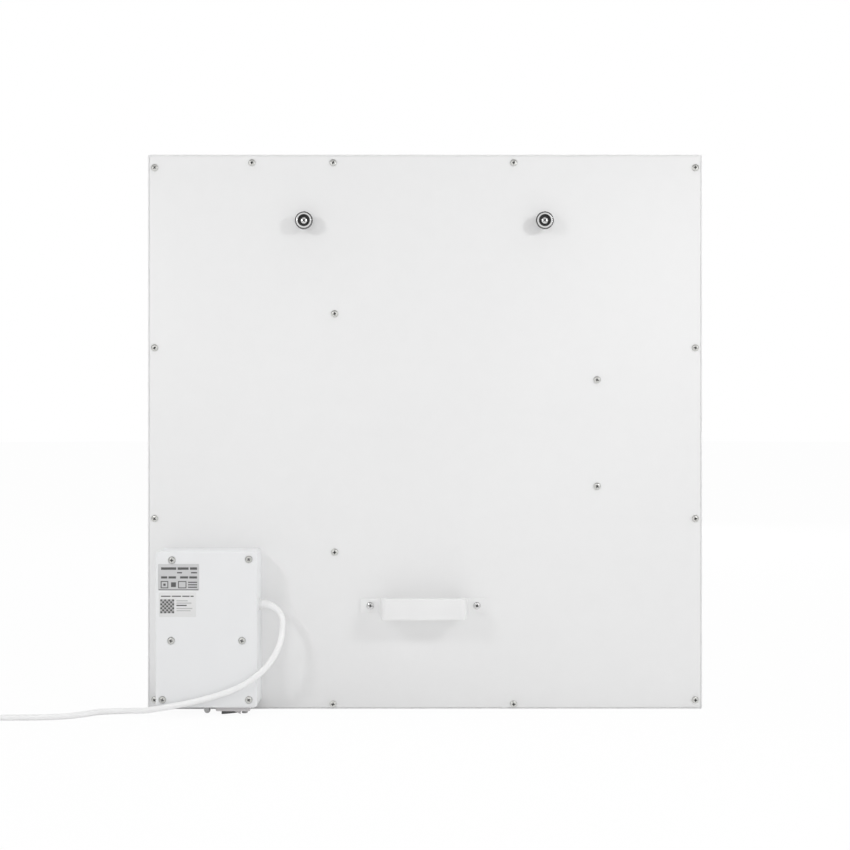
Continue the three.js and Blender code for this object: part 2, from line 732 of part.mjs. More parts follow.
/** The flat lid, with a locating rib inside the walls and sunk screw places. */
function boxLid() {
  const ribOut = box.wall + fit;
  const ribEnd = lidBack - box.ribDepth;
  const rib = slabSolid(boxOutline(ribOut), ribEnd, lidBack + past)
    .subtract(slabSolid(boxOutline(ribOut + box.ribThickness), ribEnd - past, lidBack + 2 * past));
  const bossRoom = lidPlaces.map(({ x, z }) =>
    barSolid(x, z, bossRadius + 2 * fit, behind(ribEnd - past), behind(lidBack)));
  const switchRoom = blockSolid(
    [bodyReach[0] - 2 * fit, barrelRight + 2 * fit],
    [behind(lidBack), behind(ribEnd - past)],
    [boxBottom, boxBottom + ribOut + box.ribThickness + past],
  );
  const sinks = lidPlaces.map(({ x, z }) =>
    barSolid(x, z, screw.lid.head + fit, behind(box.depth - lidSink), behind(box.depth + past)));
  const holes = lidPlaces.map(({ x, z }) =>
    barSolid(x, z, screw.lid.shank + shankFit, behind(lidBack - past), behind(box.depth + past)));
  const plate = slabSolid(boxOutline(0), lidBack, box.depth);
  return cut(plate.add(cut(rib, [...bossRoom, switchRoom])), [...sinks, ...holes]);
}

/** A Z-turned piece whose profile is given from below, at a place. */
function uprightTurned(profile, x, distance, z) {
  return turnedGeometry(profile, sides.small).rotateX(Math.PI / 2).translate(x, behind(distance), z);
}

/** The switch block: a proud bezel and a body inside the box, with a rocker pocket and a button hole. */
function switchHousing() {
  const top = boxBottom + block.bodyHeight;
  const bezel = blockSolid(
    [blockX - blockWidth / 2, blockX + blockWidth / 2],
    nearBlock(block.thickness),
    [blockBottom, boxBottom],
  );
  const body = blockSolid(bodyReach, nearBlock(block.bodyThickness), [boxBottom - past, top]);
  const barrel = blockSolid(
    [bodyReach[1] - past, barrelRight],
    nearBlock(block.bodyThickness),
    [boxBottom - past, boxBottom + block.barrelHeight],
  );
  const pocket = blockSolid(
    [rockerX - rockerPocket / 2, rockerX + rockerPocket / 2],
    nearBlock(rocker.width + 2 * fit),
    [blockBottom - past, rockerPivotZ + rocker.top + block.pocketRoom],
  );
  const buttonRoof = blockBottom + button.inside + button.travel + block.roof;
  const boreLength = buttonRoof - blockBottom + past;
  const bore = new THREE.CylinderGeometry(buttonBore, buttonBore, boreLength, sides.small);
  const buttonHole = solidOf(bore
    .rotateX(Math.PI / 2)
    .translate(buttonX, behind(blockBehind), buttonRoof - boreLength / 2));
  return cut(joined([bezel, body, barrel]), [pocket, buttonHole]);
}

/** The rocker at rest, its left half pressed out, about its pivot along Y. */
function rockerGeometry() {
  const { length, waist, topLength, crown, bulge, top, width, tilt } = rocker;
  const outline = new THREE.Shape();
  outline.moveTo(-length / 2, -crown);
  outline.lineTo(0, -crown - bulge);
  outline.lineTo(length / 2, -crown);
  outline.lineTo(waist / 2, 0);
  outline.lineTo(topLength / 2, top);
  outline.lineTo(-topLength / 2, top);
  outline.lineTo(-waist / 2, 0);
  return new THREE.ExtrudeGeometry(outline, { depth: width, bevelEnabled: false })
    .translate(0, 0, -width / 2)
    .rotateX(Math.PI / 2)
    .rotateY(-THREE.MathUtils.degToRad(tilt))
    .translate(rockerX, behind(blockBehind), rockerPivotZ);
}

/** The round push button, standing proud below the bezel. */
function buttonGeometry() {
  const { radius, edge, proud, inside } = button;
  return uprightTurned([
    [0, 0],
    [radius - edge, 0],
    [radius, edge],
    [radius, proud + inside],
    [0, proud + inside],
  ], buttonX, blockBehind, blockBottom - proud);
}

/** The domed indicator lens with its stem through the box's underside. */
function lensGeometry() {
  const { radius, drop, stem, stemLength } = lens;
  const dome = Array.from({ length: 4 }, (_, i) => {
    const angle = (i * Math.PI) / 8;
    return [radius * Math.sin(angle), radius * (1 - Math.cos(angle))];
  });
  return uprightTurned([
    ...dome,
    [radius, radius],
    [radius, drop],
    [stem, drop],
    [stem, drop + stemLength],
    [0, drop + stemLength],
  ], lensX, lensBehind, boxBottom - drop);
}

/** The lead's bushing in the box's right wall, with an inner and an outer flange. */
function glandGeometry() {
  const { flangeThickness, nutGap, nutThickness, noseTaper, noseLength } = gland;
  const flange = glandBarrel + gland.flangeStep;
  const nose = glandBore + gland.noseWall;
  const inner = -(box.wall + nutGap);
  return turnedGeometry([
    [glandBore, inner - nutThickness],
    [flange, inner - nutThickness],
    [flange, inner],
    [glandBarrel, inner],
    [glandBarrel, 0],
    [flange, 0],
    [flange, flangeThickness],
    [nose + noseTaper, flangeThickness],
    [nose, flangeThickness + noseLength],
    [glandBore, flangeThickness + noseLength],
    [glandBore, inner - nutThickness],
  ], sides.small).rotateZ(-Math.PI / 2).translate(boxRight, behind(lead.behind), exitZ);
}

/** The rubber ring that the leads pass through from the box into the panel. */
function grommetGeometry() {
  const { flangeStep, flangeThickness } = grommet;
  const flange = grommetBarrel + flangeStep;
  const front = sheet.cover + fit;
  const back = -(box.floor + fit);
  return turnedGeometry([
    [grommetBore, back - flangeThickness],
    [flange, back - flangeThickness],
    [flange, back],
    [grommetBarrel, back],
    [grommetBarrel, front],
    [flange, front],
    [flange, front + flangeThickness],
    [grommetBore, front + flangeThickness],
    [grommetBore, back - flangeThickness],
  ], sides.small).translate(grommetX, behind(0), grommetZ);
}

function addBox() {
  const { whitePlastic, bezel, rubber } = finishes;
  addPiece('box_base', boxBase(), whitePlastic);
  addPiece('box_lid', boxLid(), whitePlastic);
  lidPlaces.forEach(({ name, x, z, long }) => {
    const seat = box.depth - lidSink;
    const length = long ? seat + screw.lid.into : screw.lid.short;
    addScrew(`lid_screw_${name}`, screw.lid, x, seat, z, length);
  });
  addPiece('switch_housing', switchHousing(), bezel);
  addPiece('switch_rocker', rockerGeometry(), finishes.rocker);
  addPiece('push_button', buttonGeometry(), bezel);
  addPiece('indicator_lens', lensGeometry(), finishes.lens);
  addPiece('control_board', blockGeometry(
    [boardX, boardX + boardWidth],
    [behind(board.behind + board.thickness), behind(board.behind)],
    [boardZ, boardZ + boardHeight],
  ), finishes.board);
  const relayBack = board.behind + board.thickness;
  addPiece('relay', blockGeometry(
    [boardX + relay.x, boardX + relay.x + relay.width],
    [behind(relayBack + relay.thickness), behind(relayBack)],
    [boardZ + relay.z, boardZ + relay.z + relay.height],
  ), finishes.relay);
  addPiece('terminal_block', blockGeometry(
    [terminalRight - terminal.width, terminalRight],
    [behind(terminal.front), behind(terminal.foot)],
    [exitZ - terminal.height / 2, exitZ + terminal.height / 2],
  ), finishes.terminal);
  const clampX = boxRight - lead.insideEnd + clamp.fromEnd;
  const clampBack = lead.behind + lead.diameter / 2 + fit;
  addPiece('cord_clamp', blockGeometry(
    [clampX - clamp.length / 2, clampX + clamp.length / 2],
    [behind(clampBack + clamp.thickness), behind(clampBack)],
    [exitZ - clamp.height / 2, exitZ + clamp.height / 2],
  ), rubber);
  addPiece('cord_gland', glandGeometry(), rubber);
  addPiece('lead_grommet', grommetGeometry(), rubber);
}

// ---------------------------------------------------------------- leads inside

/**
 * Points of a lead from the terminal block, down, across and through the grommet to its end.
 * Slots -1, 0 and 1 nest the three leads side by side in one plane.
 */
function leadPoints(slot, end) {
  const startX = terminalRight - terminal.width / 2 + slot * wire.pitch;
  const startZ = exitZ - terminal.height / 2 - fit;
  const startBehind = (terminal.front + terminal.foot) / 2;
  const level = grommetZ - slot * wire.spread;
  const depth = foilBack - wire.behindFoil;
  return [
    [startX, -startBehind, startZ],
    [startX, -startBehind, (startZ + level) / 2],
    [startX, -startBehind, level + wire.turn],
    [startX - wire.turn, -startBehind, level],
    [grommetX + wire.turn, -startBehind, level],
    [grommetX + 1, -startBehind + wire.turn / 2, level],
    [grommetX, -startBehind + wire.turn + 2, level],
    [grommetX, -box.floor, level],
    [grommetX, sheet.cover + 2, level],
    ...end(depth, level),
  ].map(([x, y, z]) => new THREE.Vector3(x, within(y), z));
}

function addLeads() {
  const filmTop = filmBack - fit;
  const cutTop = filmBack - cutout.height;
  const { window } = cutout;
  const liveEnd = (depth, level) => [
    [grommetX + 4, depth, level],
    [cutoutX - window.width / 2 + 8, depth, cutout.z + 6],
    [cutoutX - 4, depth + 1, cutout.z + 3],
    [cutoutX, cutTop - 4, cutout.z + 3],
    [cutoutX, cutTop - fit, cutout.z + 3],
  ];
  const neutralEnd = (depth, level) => [
    [grommetX + 4, depth, level],
    [cutoutX - window.width / 2, depth, cutout.z - 7],
    [cutoutX - window.width / 2 + 9, depth + 5, cutout.z - 8],
    [cutoutX - window.width / 2 + 11, filmTop - 5, cutout.z - 8],
    [cutoutX - window.width / 2 + 11, filmTop, cutout.z - 8],
  ];
  const earthEnd = (depth, level) => [
    [grommetX + 4, depth, level],
    [grommetX + 12, depth - 1, (level + earthBoss.z) / 2],
    [earthX - earthBoss.radius - 6, depth - 2, earthBoss.z],
    [earthX - earthBoss.radius - fit, sheet.cover + earthBoss.length / 2 + 0.4, earthBoss.z],
  ];
  const addLead = (name, points, material) =>
    addPiece(name, tubeGeometry(points, wire.radius, sides.lead, wire.steps), material);
  addLead('live_lead', leadPoints(-1, liveEnd), finishes.brown);
  addLead('neutral_lead', leadPoints(0, neutralEnd), finishes.blue);
  addLead('earth_lead', leadPoints(1, earthEnd), finishes.greenYellow);
  const { radius, height } = cutout;
  const disc = new THREE.CylinderGeometry(radius, radius, height, sides.small)
    .translate(cutoutX, within(filmBack - height / 2), cutout.z);
  addPiece('thermal_cutout', disc, finishes.galvanised);
}

// ---------------------------------------------------------------- mains lead

const coilPitch = lead.diameter + coil.gap;
const coilOuter = coil.innerRadius + (coilPitch * coil.turns) / 2;
const coilX = routeEnd[0] - fit - lead.diameter;
const coilBehind = routeEnd[1] - coilOuter;
const tailLength = 2.4 * lead.diameter;

/** Points of the coil: in over the lower layer, up in the middle half turn, out over the upper one. */
function coilPoints(stepsPerTurn) {
  const radius = lead.diameter / 2;
  const low = radius;
  const point = (x, distance, z) => new THREE.Vector3(x, behind(distance), z);
  const leadIn = [lead.diameter, lead.diameter / 2];
  const points = leadIn.map((before) => point(coilX + before, routeEnd[1], low));
  const count = coil.turns * stepsPerTurn;
  for (let i = 0; i <= count; i += 1) {
    const turn = i / stepsPerTurn;
    const fromMiddle = turn - coil.turns / 2;
    const ring = coil.innerRadius + coilPitch * Math.sqrt(fromMiddle ** 2 + 0.01);
    const climb = THREE.MathUtils.smoothstep(fromMiddle, -coil.climb, coil.climb);
    const angle = -Math.PI / 2 - 2 * Math.PI * turn;
    points.push(point(
      coilX + ring * Math.cos(angle),
      coilBehind - ring * Math.sin(angle),
      low + coilPitch * climb,
    ));
  }
  const last = points[points.length - 1];
  points.push(last.clone().add(new THREE.Vector3(-tailLength / 2, 0, 0)));
  points.push(last.clone().add(new THREE.Vector3(-tailLength, 0, 0)));
  return points;
}

/** The least gap between stretches of the coil that lie over two diameters apart along it. */
function leastGap(points) {
  const along = [0];
  points.slice(1).forEach((p, i) => along.push(along[i] + p.distanceTo(points[i])));
  let least = Infinity;
  points.forEach((p, i) => {
    for (let j = i + 1; j < points.length; j += 1) {
      if (along[j] - along[i] > 4 * lead.diameter) least = Math.min(least, p.distanceTo(points[j]));
    }
  });
  return least - lead.diameter;
}

const lengthOf = (points) => points.slice(1).reduce((sum, p, i) => sum + p.distanceTo(points[i]), 0);

/** The plug's body: a round block with flat sides, lying on its back, and a nose round the lead. */
function plugBody(entry, entryZ) {
  const { radius, flat, thickness, noseLength, noseStart, noseSink } = plug;
  const noseEnd = lead.diameter / 2 + plug.noseWall;
  const middle = entry.x - noseLength - radius + noseSink;
  const flatAngle = Math.asin(flat / radius);
  const outline = new THREE.Shape();
  outline.absarc(0, 0, radius, -flatAngle, flatAngle);
  outline.absarc(0, 0, radius, Math.PI - flatAngle, Math.PI + flatAngle);
  const disc = new THREE.ExtrudeGeometry(outline, { depth: thickness, bevelEnabled: false, curveSegments: 8 })
    .translate(middle, entry.y, 0);
  const nose = turnedGeometry([
    [0, 0],
    [noseEnd, 0],
    [noseStart, noseLength + noseSink],
    [0, noseLength + noseSink],
  ], sides.hole).rotateZ(Math.PI / 2).translate(entry.x, entry.y, entryZ);
  return { solid: solidOf(disc).add(solidOf(nose)), middle };
}

function addMainsLead() {
  const start = boxRight - lead.insideEnd;
  const points = route.map(([x, distance, z]) => new THREE.Vector3(x, behind(distance), z));
  points[0].x = start;
  const steps = Math.round(lengthOf(points) / (2 * lead.diameter));
  const radius = lead.diameter / 2;
  addPiece('power_cord', tubeGeometry(points, radius, sides.cord, steps), finishes.cord);
  const coarse = coilPoints(coil.stepsPerTurn);
  const wound = tubeGeometry(coarse, radius, sides.lead, coarse.length - 1);
  addPiece('cord_coil', wound, finishes.cord);
  const end = coarse[coarse.length - 1];
  const entry = new THREE.Vector3(end.x - fit, end.y, end.z);
  const { solid, middle } = plugBody(entry, end.z);
  addPiece('plug_body', solid, finishes.cord);
  [-1, 1].forEach((side) => {
    const pin = new THREE.CylinderGeometry(plug.pinRadius, plug.pinRadius, plug.pinLength, sides.hole)
      .rotateX(Math.PI / 2)
      .translate(middle, entry.y + (side * plug.pinSpacing) / 2, plug.thickness + plug.pinLength / 2);
    addPiece(`plug_pin_${side < 0 ? 'near' : 'far'}`, pin, finishes.pins);
  });
  const fine = coilPoints(coil.measured);
  const total = lengthOf(points) + lengthOf(fine);
  console.log(`lead: ${total.toFixed(0)} mm long, the coil's least gap to itself `
    + `${leastGap(fine).toFixed(2)} mm`);
}

// ---------------------------------------------------------------- assembly

addPanel();
addStuds();
addHandle();
addBox();
addLeads();
addMainsLead();

export default heater;
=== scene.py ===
"""The looks of an infrared panel heater, seen from behind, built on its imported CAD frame.

Sizes are in millimetres. A place is X, the distance behind the back sheet's outer face, and Z.
"""

import logging
import math
from collections.abc import Iterable, Sequence
from dataclasses import dataclass
from enum import Enum

import bmesh
import bpy
from mathutils import Matrix, Vector, noise


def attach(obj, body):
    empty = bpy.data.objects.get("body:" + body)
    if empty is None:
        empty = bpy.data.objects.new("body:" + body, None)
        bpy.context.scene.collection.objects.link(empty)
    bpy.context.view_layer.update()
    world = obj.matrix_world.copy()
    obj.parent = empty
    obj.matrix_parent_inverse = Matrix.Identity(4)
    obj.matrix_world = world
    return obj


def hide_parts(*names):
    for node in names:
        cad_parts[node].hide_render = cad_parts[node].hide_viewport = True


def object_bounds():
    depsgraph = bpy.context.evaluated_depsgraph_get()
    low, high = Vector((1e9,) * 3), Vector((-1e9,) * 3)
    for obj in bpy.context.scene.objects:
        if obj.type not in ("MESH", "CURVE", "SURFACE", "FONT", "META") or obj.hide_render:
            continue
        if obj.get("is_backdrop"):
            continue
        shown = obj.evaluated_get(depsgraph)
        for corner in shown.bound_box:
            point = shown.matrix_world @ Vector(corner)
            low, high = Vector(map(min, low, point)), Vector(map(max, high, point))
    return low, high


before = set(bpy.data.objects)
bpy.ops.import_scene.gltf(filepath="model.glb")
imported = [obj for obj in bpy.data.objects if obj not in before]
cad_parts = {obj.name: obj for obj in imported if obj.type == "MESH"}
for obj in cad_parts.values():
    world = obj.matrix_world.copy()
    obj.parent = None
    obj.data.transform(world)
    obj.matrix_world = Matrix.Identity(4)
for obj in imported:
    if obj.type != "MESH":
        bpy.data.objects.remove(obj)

LOG = logging.getLogger("heater")
BACK_Y = 8.1
PANEL_SIDE = 600.0
ORIGIN = (0.0, 0.0, 0.0)
WHITE = (1.0, 1.0, 1.0, 1.0)

Point = tuple[float, float, float]
Flat = tuple[float, float]
Colour = tuple[float, float, float, float]


class Slot(Enum):
    """The record's material slots."""

    WHITE_STEEL = "white_steel"
    WHITE_PLASTIC = "white_plastic"
    CHROME = "chrome"
    SCREW_STEEL = "screw_steel"
    GALVANISED = "galvanised"
    FILM = "film"
    MAT = "mat"
    FOIL = "foil"
    BEZEL = "bezel"
    ROCKER = "rocker"
    BUTTON = "button"
    LENS = "lens"
    BOARD = "board"
    RELAY = "relay"
    TERMINAL = "terminal"
    CLAMP = "clamp"
    GLAND = "gland"
    WIRE_LIVE = "wire_live"
    WIRE_NEUTRAL = "wire_neutral"
    WIRE_EARTH = "wire_earth"
    CORD = "cord"
    PLUG = "plug"
    PINS = "pins"


class Body(Enum):
    """The bodies that pieces ride on."""

    ROOT = "root"
    ROCKER = "rocker"
    BUTTON = "button"


class Axis(Enum):
    """The direction that a turned or drawn-out shape grows along."""

    ACROSS = "across"
    BEHIND = "behind"
    UP = "up"

    def place(self, first: float, second: float, along: float) -> Point:
        """A point from two coordinates across this axis and one along it.

        Args:
            first: The first coordinate across the axis, X unless the axis is X.
            second: The second coordinate across the axis.
            along: The coordinate along the axis.

        Returns:
            The point as X, distance behind and Z.
        """
        if self is Axis.ACROSS:
            return along, first, second
        if self is Axis.BEHIND:
            return first, along, second
        return first, second, along


class Join(Enum):
    """How one solid changes another."""

    CUT = "DIFFERENCE"
    ADD = "UNION"
    COMMON = "INTERSECT"


class Cells(Enum):
    """What a pattern of cells is measured from."""

    MIDDLE = "F1"
    EDGE = "DISTANCE_TO_EDGE"


class Ray(Enum):
    """The kinds of ray that the background and the floor tell apart."""

    CAMERA = "Is Camera Ray"
    GLOSS = "Is Glossy Ray"
    CLEAR = "Is Transmission Ray"


class Ink(Enum):
    """The places of a label's finishes."""

    DARK = 1
    PALE = 2


# ---------------------------------------------------------------- shader graphs


class Wire:
    """A value, colour or vector on its way through a graph, with arithmetic on values."""

    def __init__(self, graph: "Graph", socket: bpy.types.NodeSocket) -> None:
        """Keeps the graph and the output socket."""
        self.graph = graph
        self.socket = socket

    def _maths(self, operation: str, first: "Wire | float", second: "Wire | float") -> "Wire":
        """Adds a Math node.

        Args:
            operation: The node's operation.
            first: Its first value.
            second: Its second value.

        Returns:
            The node's result.
        """
        return self.graph.node("ShaderNodeMath", {"operation": operation}, {0: first, 1: second})

    def __add__(self, other: "Wire | float") -> "Wire":
        """This value plus another."""
        return self._maths("ADD", self, other)

    def __radd__(self, other: float) -> "Wire":
        """A number plus this value."""
        return self._maths("ADD", other, self)

    def __sub__(self, other: "Wire | float") -> "Wire":
        """This value less another."""
        return self._maths("SUBTRACT", self, other)

    def __rsub__(self, other: float) -> "Wire":
        """A number less this value."""
        return self._maths("SUBTRACT", other, self)

    def __mul__(self, other: "Wire | float") -> "Wire":
        """This value times another."""
        return self._maths("MULTIPLY", self, other)

    def __rmul__(self, other: float) -> "Wire":
        """A number times this value."""
        return self._maths("MULTIPLY", other, self)

    def __truediv__(self, other: "Wire | float") -> "Wire":
        """This value over another."""
        return self._maths("DIVIDE", self, other)

    def __rtruediv__(self, other: float) -> "Wire":
        """A number over this value."""
        return self._maths("DIVIDE", other, self)

    def __pow__(self, power: "Wire | float") -> "Wire":
        """This value to a power."""
        return self._maths("POWER", self, power)

    def __rpow__(self, base: float) -> "Wire":
        """A number to the power of this value."""
        return self._maths("POWER", base, self)

    def __gt__(self, limit: "Wire | float") -> "Wire":
        """1 where this value is above a limit, else 0."""
        return self._maths("GREATER_THAN", self, limit)

    def __lt__(self, limit: "Wire | float") -> "Wire":
        """1 where this value is below a limit, else 0."""
        return self._maths("LESS_THAN", self, limit)

    def __abs__(self) -> "Wire":
        """This value without its sign."""
        return self._maths("ABSOLUTE", self, 0.0)

    def least(self, other: "Wire | float") -> "Wire":
        """The smaller of this value and another."""
        return self._maths("MINIMUM", self, other)

    def most(self, other: "Wire | float") -> "Wire":
        """The larger of this value and another."""
        return self._maths("MAXIMUM", self, other)

    def swing(self, width: float) -> "Wire":
        """This value folded to and fro between 0 and a width."""
        return self._maths("PINGPONG", self, width)

    def ramp(self, low: float, high: float) -> "Wire":
        """This value stretched from low and high to 0 and 1, and held there."""
        return ((self - low) / (high - low)).most(0.0).least(1.0)


Value = Wire | float | Sequence[float]


class Graph:
    """A node tree that is built by expressions."""

    def __init__(self, tree: bpy.types.NodeTree) -> None:
        """Empties the tree and keeps it."""
        self.tree = tree
        tree.nodes.clear()

    def node(
        self,
        kind: str,
        settings: dict[str, object] | None = None,
        values: dict[str | int, Value] | None = None,
        output: str | int = 0,
    ) -> Wire | None:
        """Adds a node.

        Args:
            kind: The node's type.
            settings: Its properties, with a ramp's stops as (position, colour) under "stops".
            values: Numbers, colours or wires by socket name or index.
            output: The output that is handed on.

        Returns:
            The output, or None for a node without one.
        """
        made = self.tree.nodes.new(kind)
        for name, setting in (settings or {}).items():
            if name != "stops":
                setattr(made, name, setting)
                continue
            elements = made.color_ramp.elements
            while len(elements) < len(setting):
                elements.new(1.0)
            for element, (position, colour) in zip(elements, setting):
                element.position, element.color = position, colour
        for socket, value in (values or {}).items():
            if isinstance(value, Wire):
                self.tree.links.new(value.socket, made.inputs[socket])
            else:
                made.inputs[socket].default_value = value
        return Wire(self, made.outputs[output]) if made.outputs else None

    def here(self, stretch: Point = (1.0, 1.0, 1.0)) -> Wire:
        """The object's own coordinates in metres, stretched.

        Args:
            stretch: The factor on each axis.

        Returns:
            The coordinates.
        """
        place = self.node("ShaderNodeTexCoord", output="Object")
        return self.node("ShaderNodeMapping", {}, {"Vector": place, "Scale": stretch})

    def axes(self) -> tuple[Wire, Wire, Wire]:
        """The object's own X, Y and Z in metres."""
        place = self.here()
        return tuple(self.node("ShaderNodeSeparateXYZ", {}, {0: place}, axis) for axis in "XYZ")

    def cloud(self, scale: float, detail: float = 2.0, stretch: Point = (1.0, 1.0, 1.0)) -> Wire:
        """Smooth noise from 0 to 1.

        Args:
            scale: How many features there are to a metre.
            detail: How many finer layers it has.
            stretch: The factor on each axis.

        Returns:
            The noise.
        """
        values = {"Vector": self.here(stretch), "Scale": scale, "Detail": detail}
        return self.node("ShaderNodeTexNoise", {}, values, "Fac")

    def cells(
        self, scale: float, start: Cells = Cells.MIDDLE, output: str = "Distance", loose: float = 1.0
    ) -> Wire:
        """A pattern of cells.

        Args:
            scale: How many cells there are to a metre.
            start: What the distance is measured from.
            output: Distance, or Color for one colour to a cell.
            loose: How unevenly the cells lie, from 0 to 1.

        Returns:
            The distance or the colour.
        """
        values = {"Vector": self.here(), "Scale": scale, "Randomness": loose}
        return self.node("ShaderNodeTexVoronoi", {"feature": start.value}, values, output)

    def ray(self, kind: Ray) -> Wire:
        """1 for rays of one kind, else 0."""
        return self.node("ShaderNodeLightPath", output=kind.value)

    def mix(self, factor: Wire | float, first: Value, second: Value) -> Wire:
        """A colour between two.

        Args:
            factor: How much of the second shows.
            first: The first colour.
            second: The second colour.

        Returns:
            The mixed colour.
        """
        values = {0: factor, 6: first, 7: second}
        return self.node("ShaderNodeMix", {"data_type": "RGBA"}, values, 2)

    def bump(self, height: Wire, distance: float, strength: float = 1.0) -> Wire:
        """A normal from a height.

        Args:
            height: The height from 0 to 1.
            distance: What 1 stands for, in metres.
            strength: How much of it shows.

        Returns:
            The normal.
        """
        values = {"Height": height, "Distance": distance, "Strength": strength}
        return self.node("ShaderNodeBump", {}, values)


def shade(level: float, tint: Point = (1.0, 1.0, 1.0)) -> Colour:
    """A colour from the level that a picture shows.

    Args:
        level: The level from 0 to 255.
        tint: A factor on each channel of that level.

    Returns:
        The colour as linear light, with alpha 1.
    """

    def linear(value: float) -> float:
        """A display value as linear light."""
        return value / 12.92 if value <= 0.04045 else ((value + 0.055) / 1.055) ** 2.4

    return (*(linear(level * part / 255) for part in tint), 1.0)


def times(colour: Colour, factor: float) -> Colour:
    """A colour made lighter or darker by a factor."""
    return (*(min(part * factor, 1.0) for part in colour[:3]), 1.0)


# ---------------------------------------------------------------- finishes


@dataclass(frozen=True)
class Finish:
    """A finish: its name, the record's slot, its colour and how dull it is."""

    name: str
    slot: Slot
    colour: Colour
    roughness: float = 0.45

    def material(self) -> bpy.types.Material:
        """The finish's material, made the first time that it is asked for.

        Returns:
            The material.
        """
        found = bpy.data.materials.get(self.name)
        if found:
            return found
        made = bpy.data.materials.new(self.name)
        made.use_nodes = True
        graph = Graph(made.node_tree)
        surface = graph.node("ShaderNodeBsdfPrincipled", {}, self.surface(graph))
        graph.node("ShaderNodeOutputMaterial", {}, {"Surface": surface})
        return made

    def surface(self, graph: Graph) -> dict[str | int, Value]:
        """The values of the shader's sockets.

        Args:
            graph: The material's graph.

        Returns:
            The values by socket name.
        """
        return {"Base Color": self.colour, "Roughness": self.roughness}

    def varied(self, graph: Graph, amount: Wire, spread: float) -> Wire:
        """The colour, darker and lighter by a spread where an amount is 0 and 1."""
        return graph.mix(amount, times(self.colour, 1 - spread), times(self.colour, 1 + spread))


@dataclass(frozen=True)
class PowderCoat(Finish):
    """Baked powder paint on sheet steel: faint clouds, fine orange peel and a few dust nibs."""

    clouding: float = 0.012

    def surface(self, graph: Graph) -> dict[str | int, Value]:
        """The values of the shader's sockets.

        Args:
            graph: The material's graph.

        Returns:
            The values by socket name.
        """
        broad = graph.cloud(5.0, 3.0)
        close = graph.cloud(55.0, 3.0)
        peel = graph.cloud(620.0, 2.0)
        nibs = graph.cells(70.0).ramp(0.03, 0.0)
        clouds = (broad * 0.6 + close * 0.4).ramp(0.3, 0.7)
        return {
            "Base Color": self.varied(graph, clouds, self.clouding),
            "Roughness": self.roughness + (close - 0.5) * 0.12,
            "Normal": graph.bump(peel * 0.8 + nibs * 0.5, 0.00005, 0.5),
        }


@dataclass(frozen=True)
class Moulding(Finish):
    """Moulded plastic: spark-eroded grain, slight flow shading and rubbed patches."""

    grain: float = 1500.0
    depth: float = 0.00003
    coat: float = 0.0

    def surface(self, graph: Graph) -> dict[str | int, Value]:
        """The values of the shader's sockets.

        Args:
            graph: The material's graph.

        Returns:
            The values by socket name.
        """
        flow = graph.cloud(14.0, 2.0, (1.0, 1.0, 0.35))
        grain = graph.cloud(self.grain, 2.0)
        rubbed = graph.cloud(90.0, 4.0).ramp(0.55, 0.75)
        return {
            "Base Color": self.varied(graph, flow.ramp(0.3, 0.7), 0.015),
            "Roughness": self.roughness - rubbed * 0.08 + (grain - 0.5) * 0.05,
            "Coat Weight": self.coat,
            "Coat Roughness": 0.08,
            "Normal": graph.bump(grain, self.depth, 0.5),
        }


@dataclass(frozen=True)
class Plating(Finish):
    """Zinc or nickel plating: cloudy lustre and fine scratches that run one way."""

    cloudiness: float = 0.18

    def surface(self, graph: Graph) -> dict[str | int, Value]:
        """The values of the shader's sockets.

        Args:
            graph: The material's graph.

        Returns:
            The values by socket name.
        """
        clouds = graph.cloud(700.0, 3.0)
        scratches = graph.cloud(900.0, 2.0, (1.0, 1.0, 12.0))
        stains = graph.cloud(260.0, 3.0).ramp(0.5, 0.8)
        return {
            "Base Color": graph.mix(
                stains * 0.4,
                self.varied(graph, clouds.ramp(0.3, 0.7), self.cloudiness),
                times(self.colour, 0.6),
            ),
            "Metallic": 1.0,
            "Roughness": self.roughness + (clouds - 0.5) * 0.2,
            "Normal": graph.bump(scratches, 0.00001, 0.6),
        }


@dataclass(frozen=True)
class TurnedMetal(Finish):
    """Bright turned metal with the lathe's rings about the piece's own axis."""

    rings: float = 900.0

    def surface(self, graph: Graph) -> dict[str | int, Value]:
        """The values of the shader's sockets.

        Args:
            graph: The material's graph.

        Returns:
            The values by socket name.
        """
        wave = graph.node(
            "ShaderNodeTexWave",
            {"wave_type": "RINGS", "rings_direction": "Y"},
            {"Vector": graph.here(), "Scale": self.rings, "Distortion": 1.5, "Detail": 1.0},
            "Fac",
        )
        clouds = graph.cloud(300.0, 3.0)
        return {
            "Base Color": self.varied(graph, clouds, 0.05),
            "Metallic": 1.0,
            "Roughness": self.roughness + clouds * 0.08,
            "Normal": graph.bump(wave, 0.000004, 0.5),
        }


@dataclass(frozen=True)
class Spangle(Finish):
    """Hot-dip zinc with crystal spangles."""

    def surface(self, graph: Graph) -> dict[str | int, Value]:
        """The values of the shader's sockets.

        Args:
            graph: The material's graph.

        Returns:
            The values by socket name.
        """
        cells = graph.cells(130.0, output="Color")
        level = graph.node("ShaderNodeSeparateXYZ", {}, {0: cells}, "X")
        return {
            "Base Color": self.varied(graph, level, 0.2),
            "Metallic": 1.0,
            "Roughness": self.roughness + level * 0.15,
            "Normal": graph.bump(level, 0.00001, 0.4),
        }


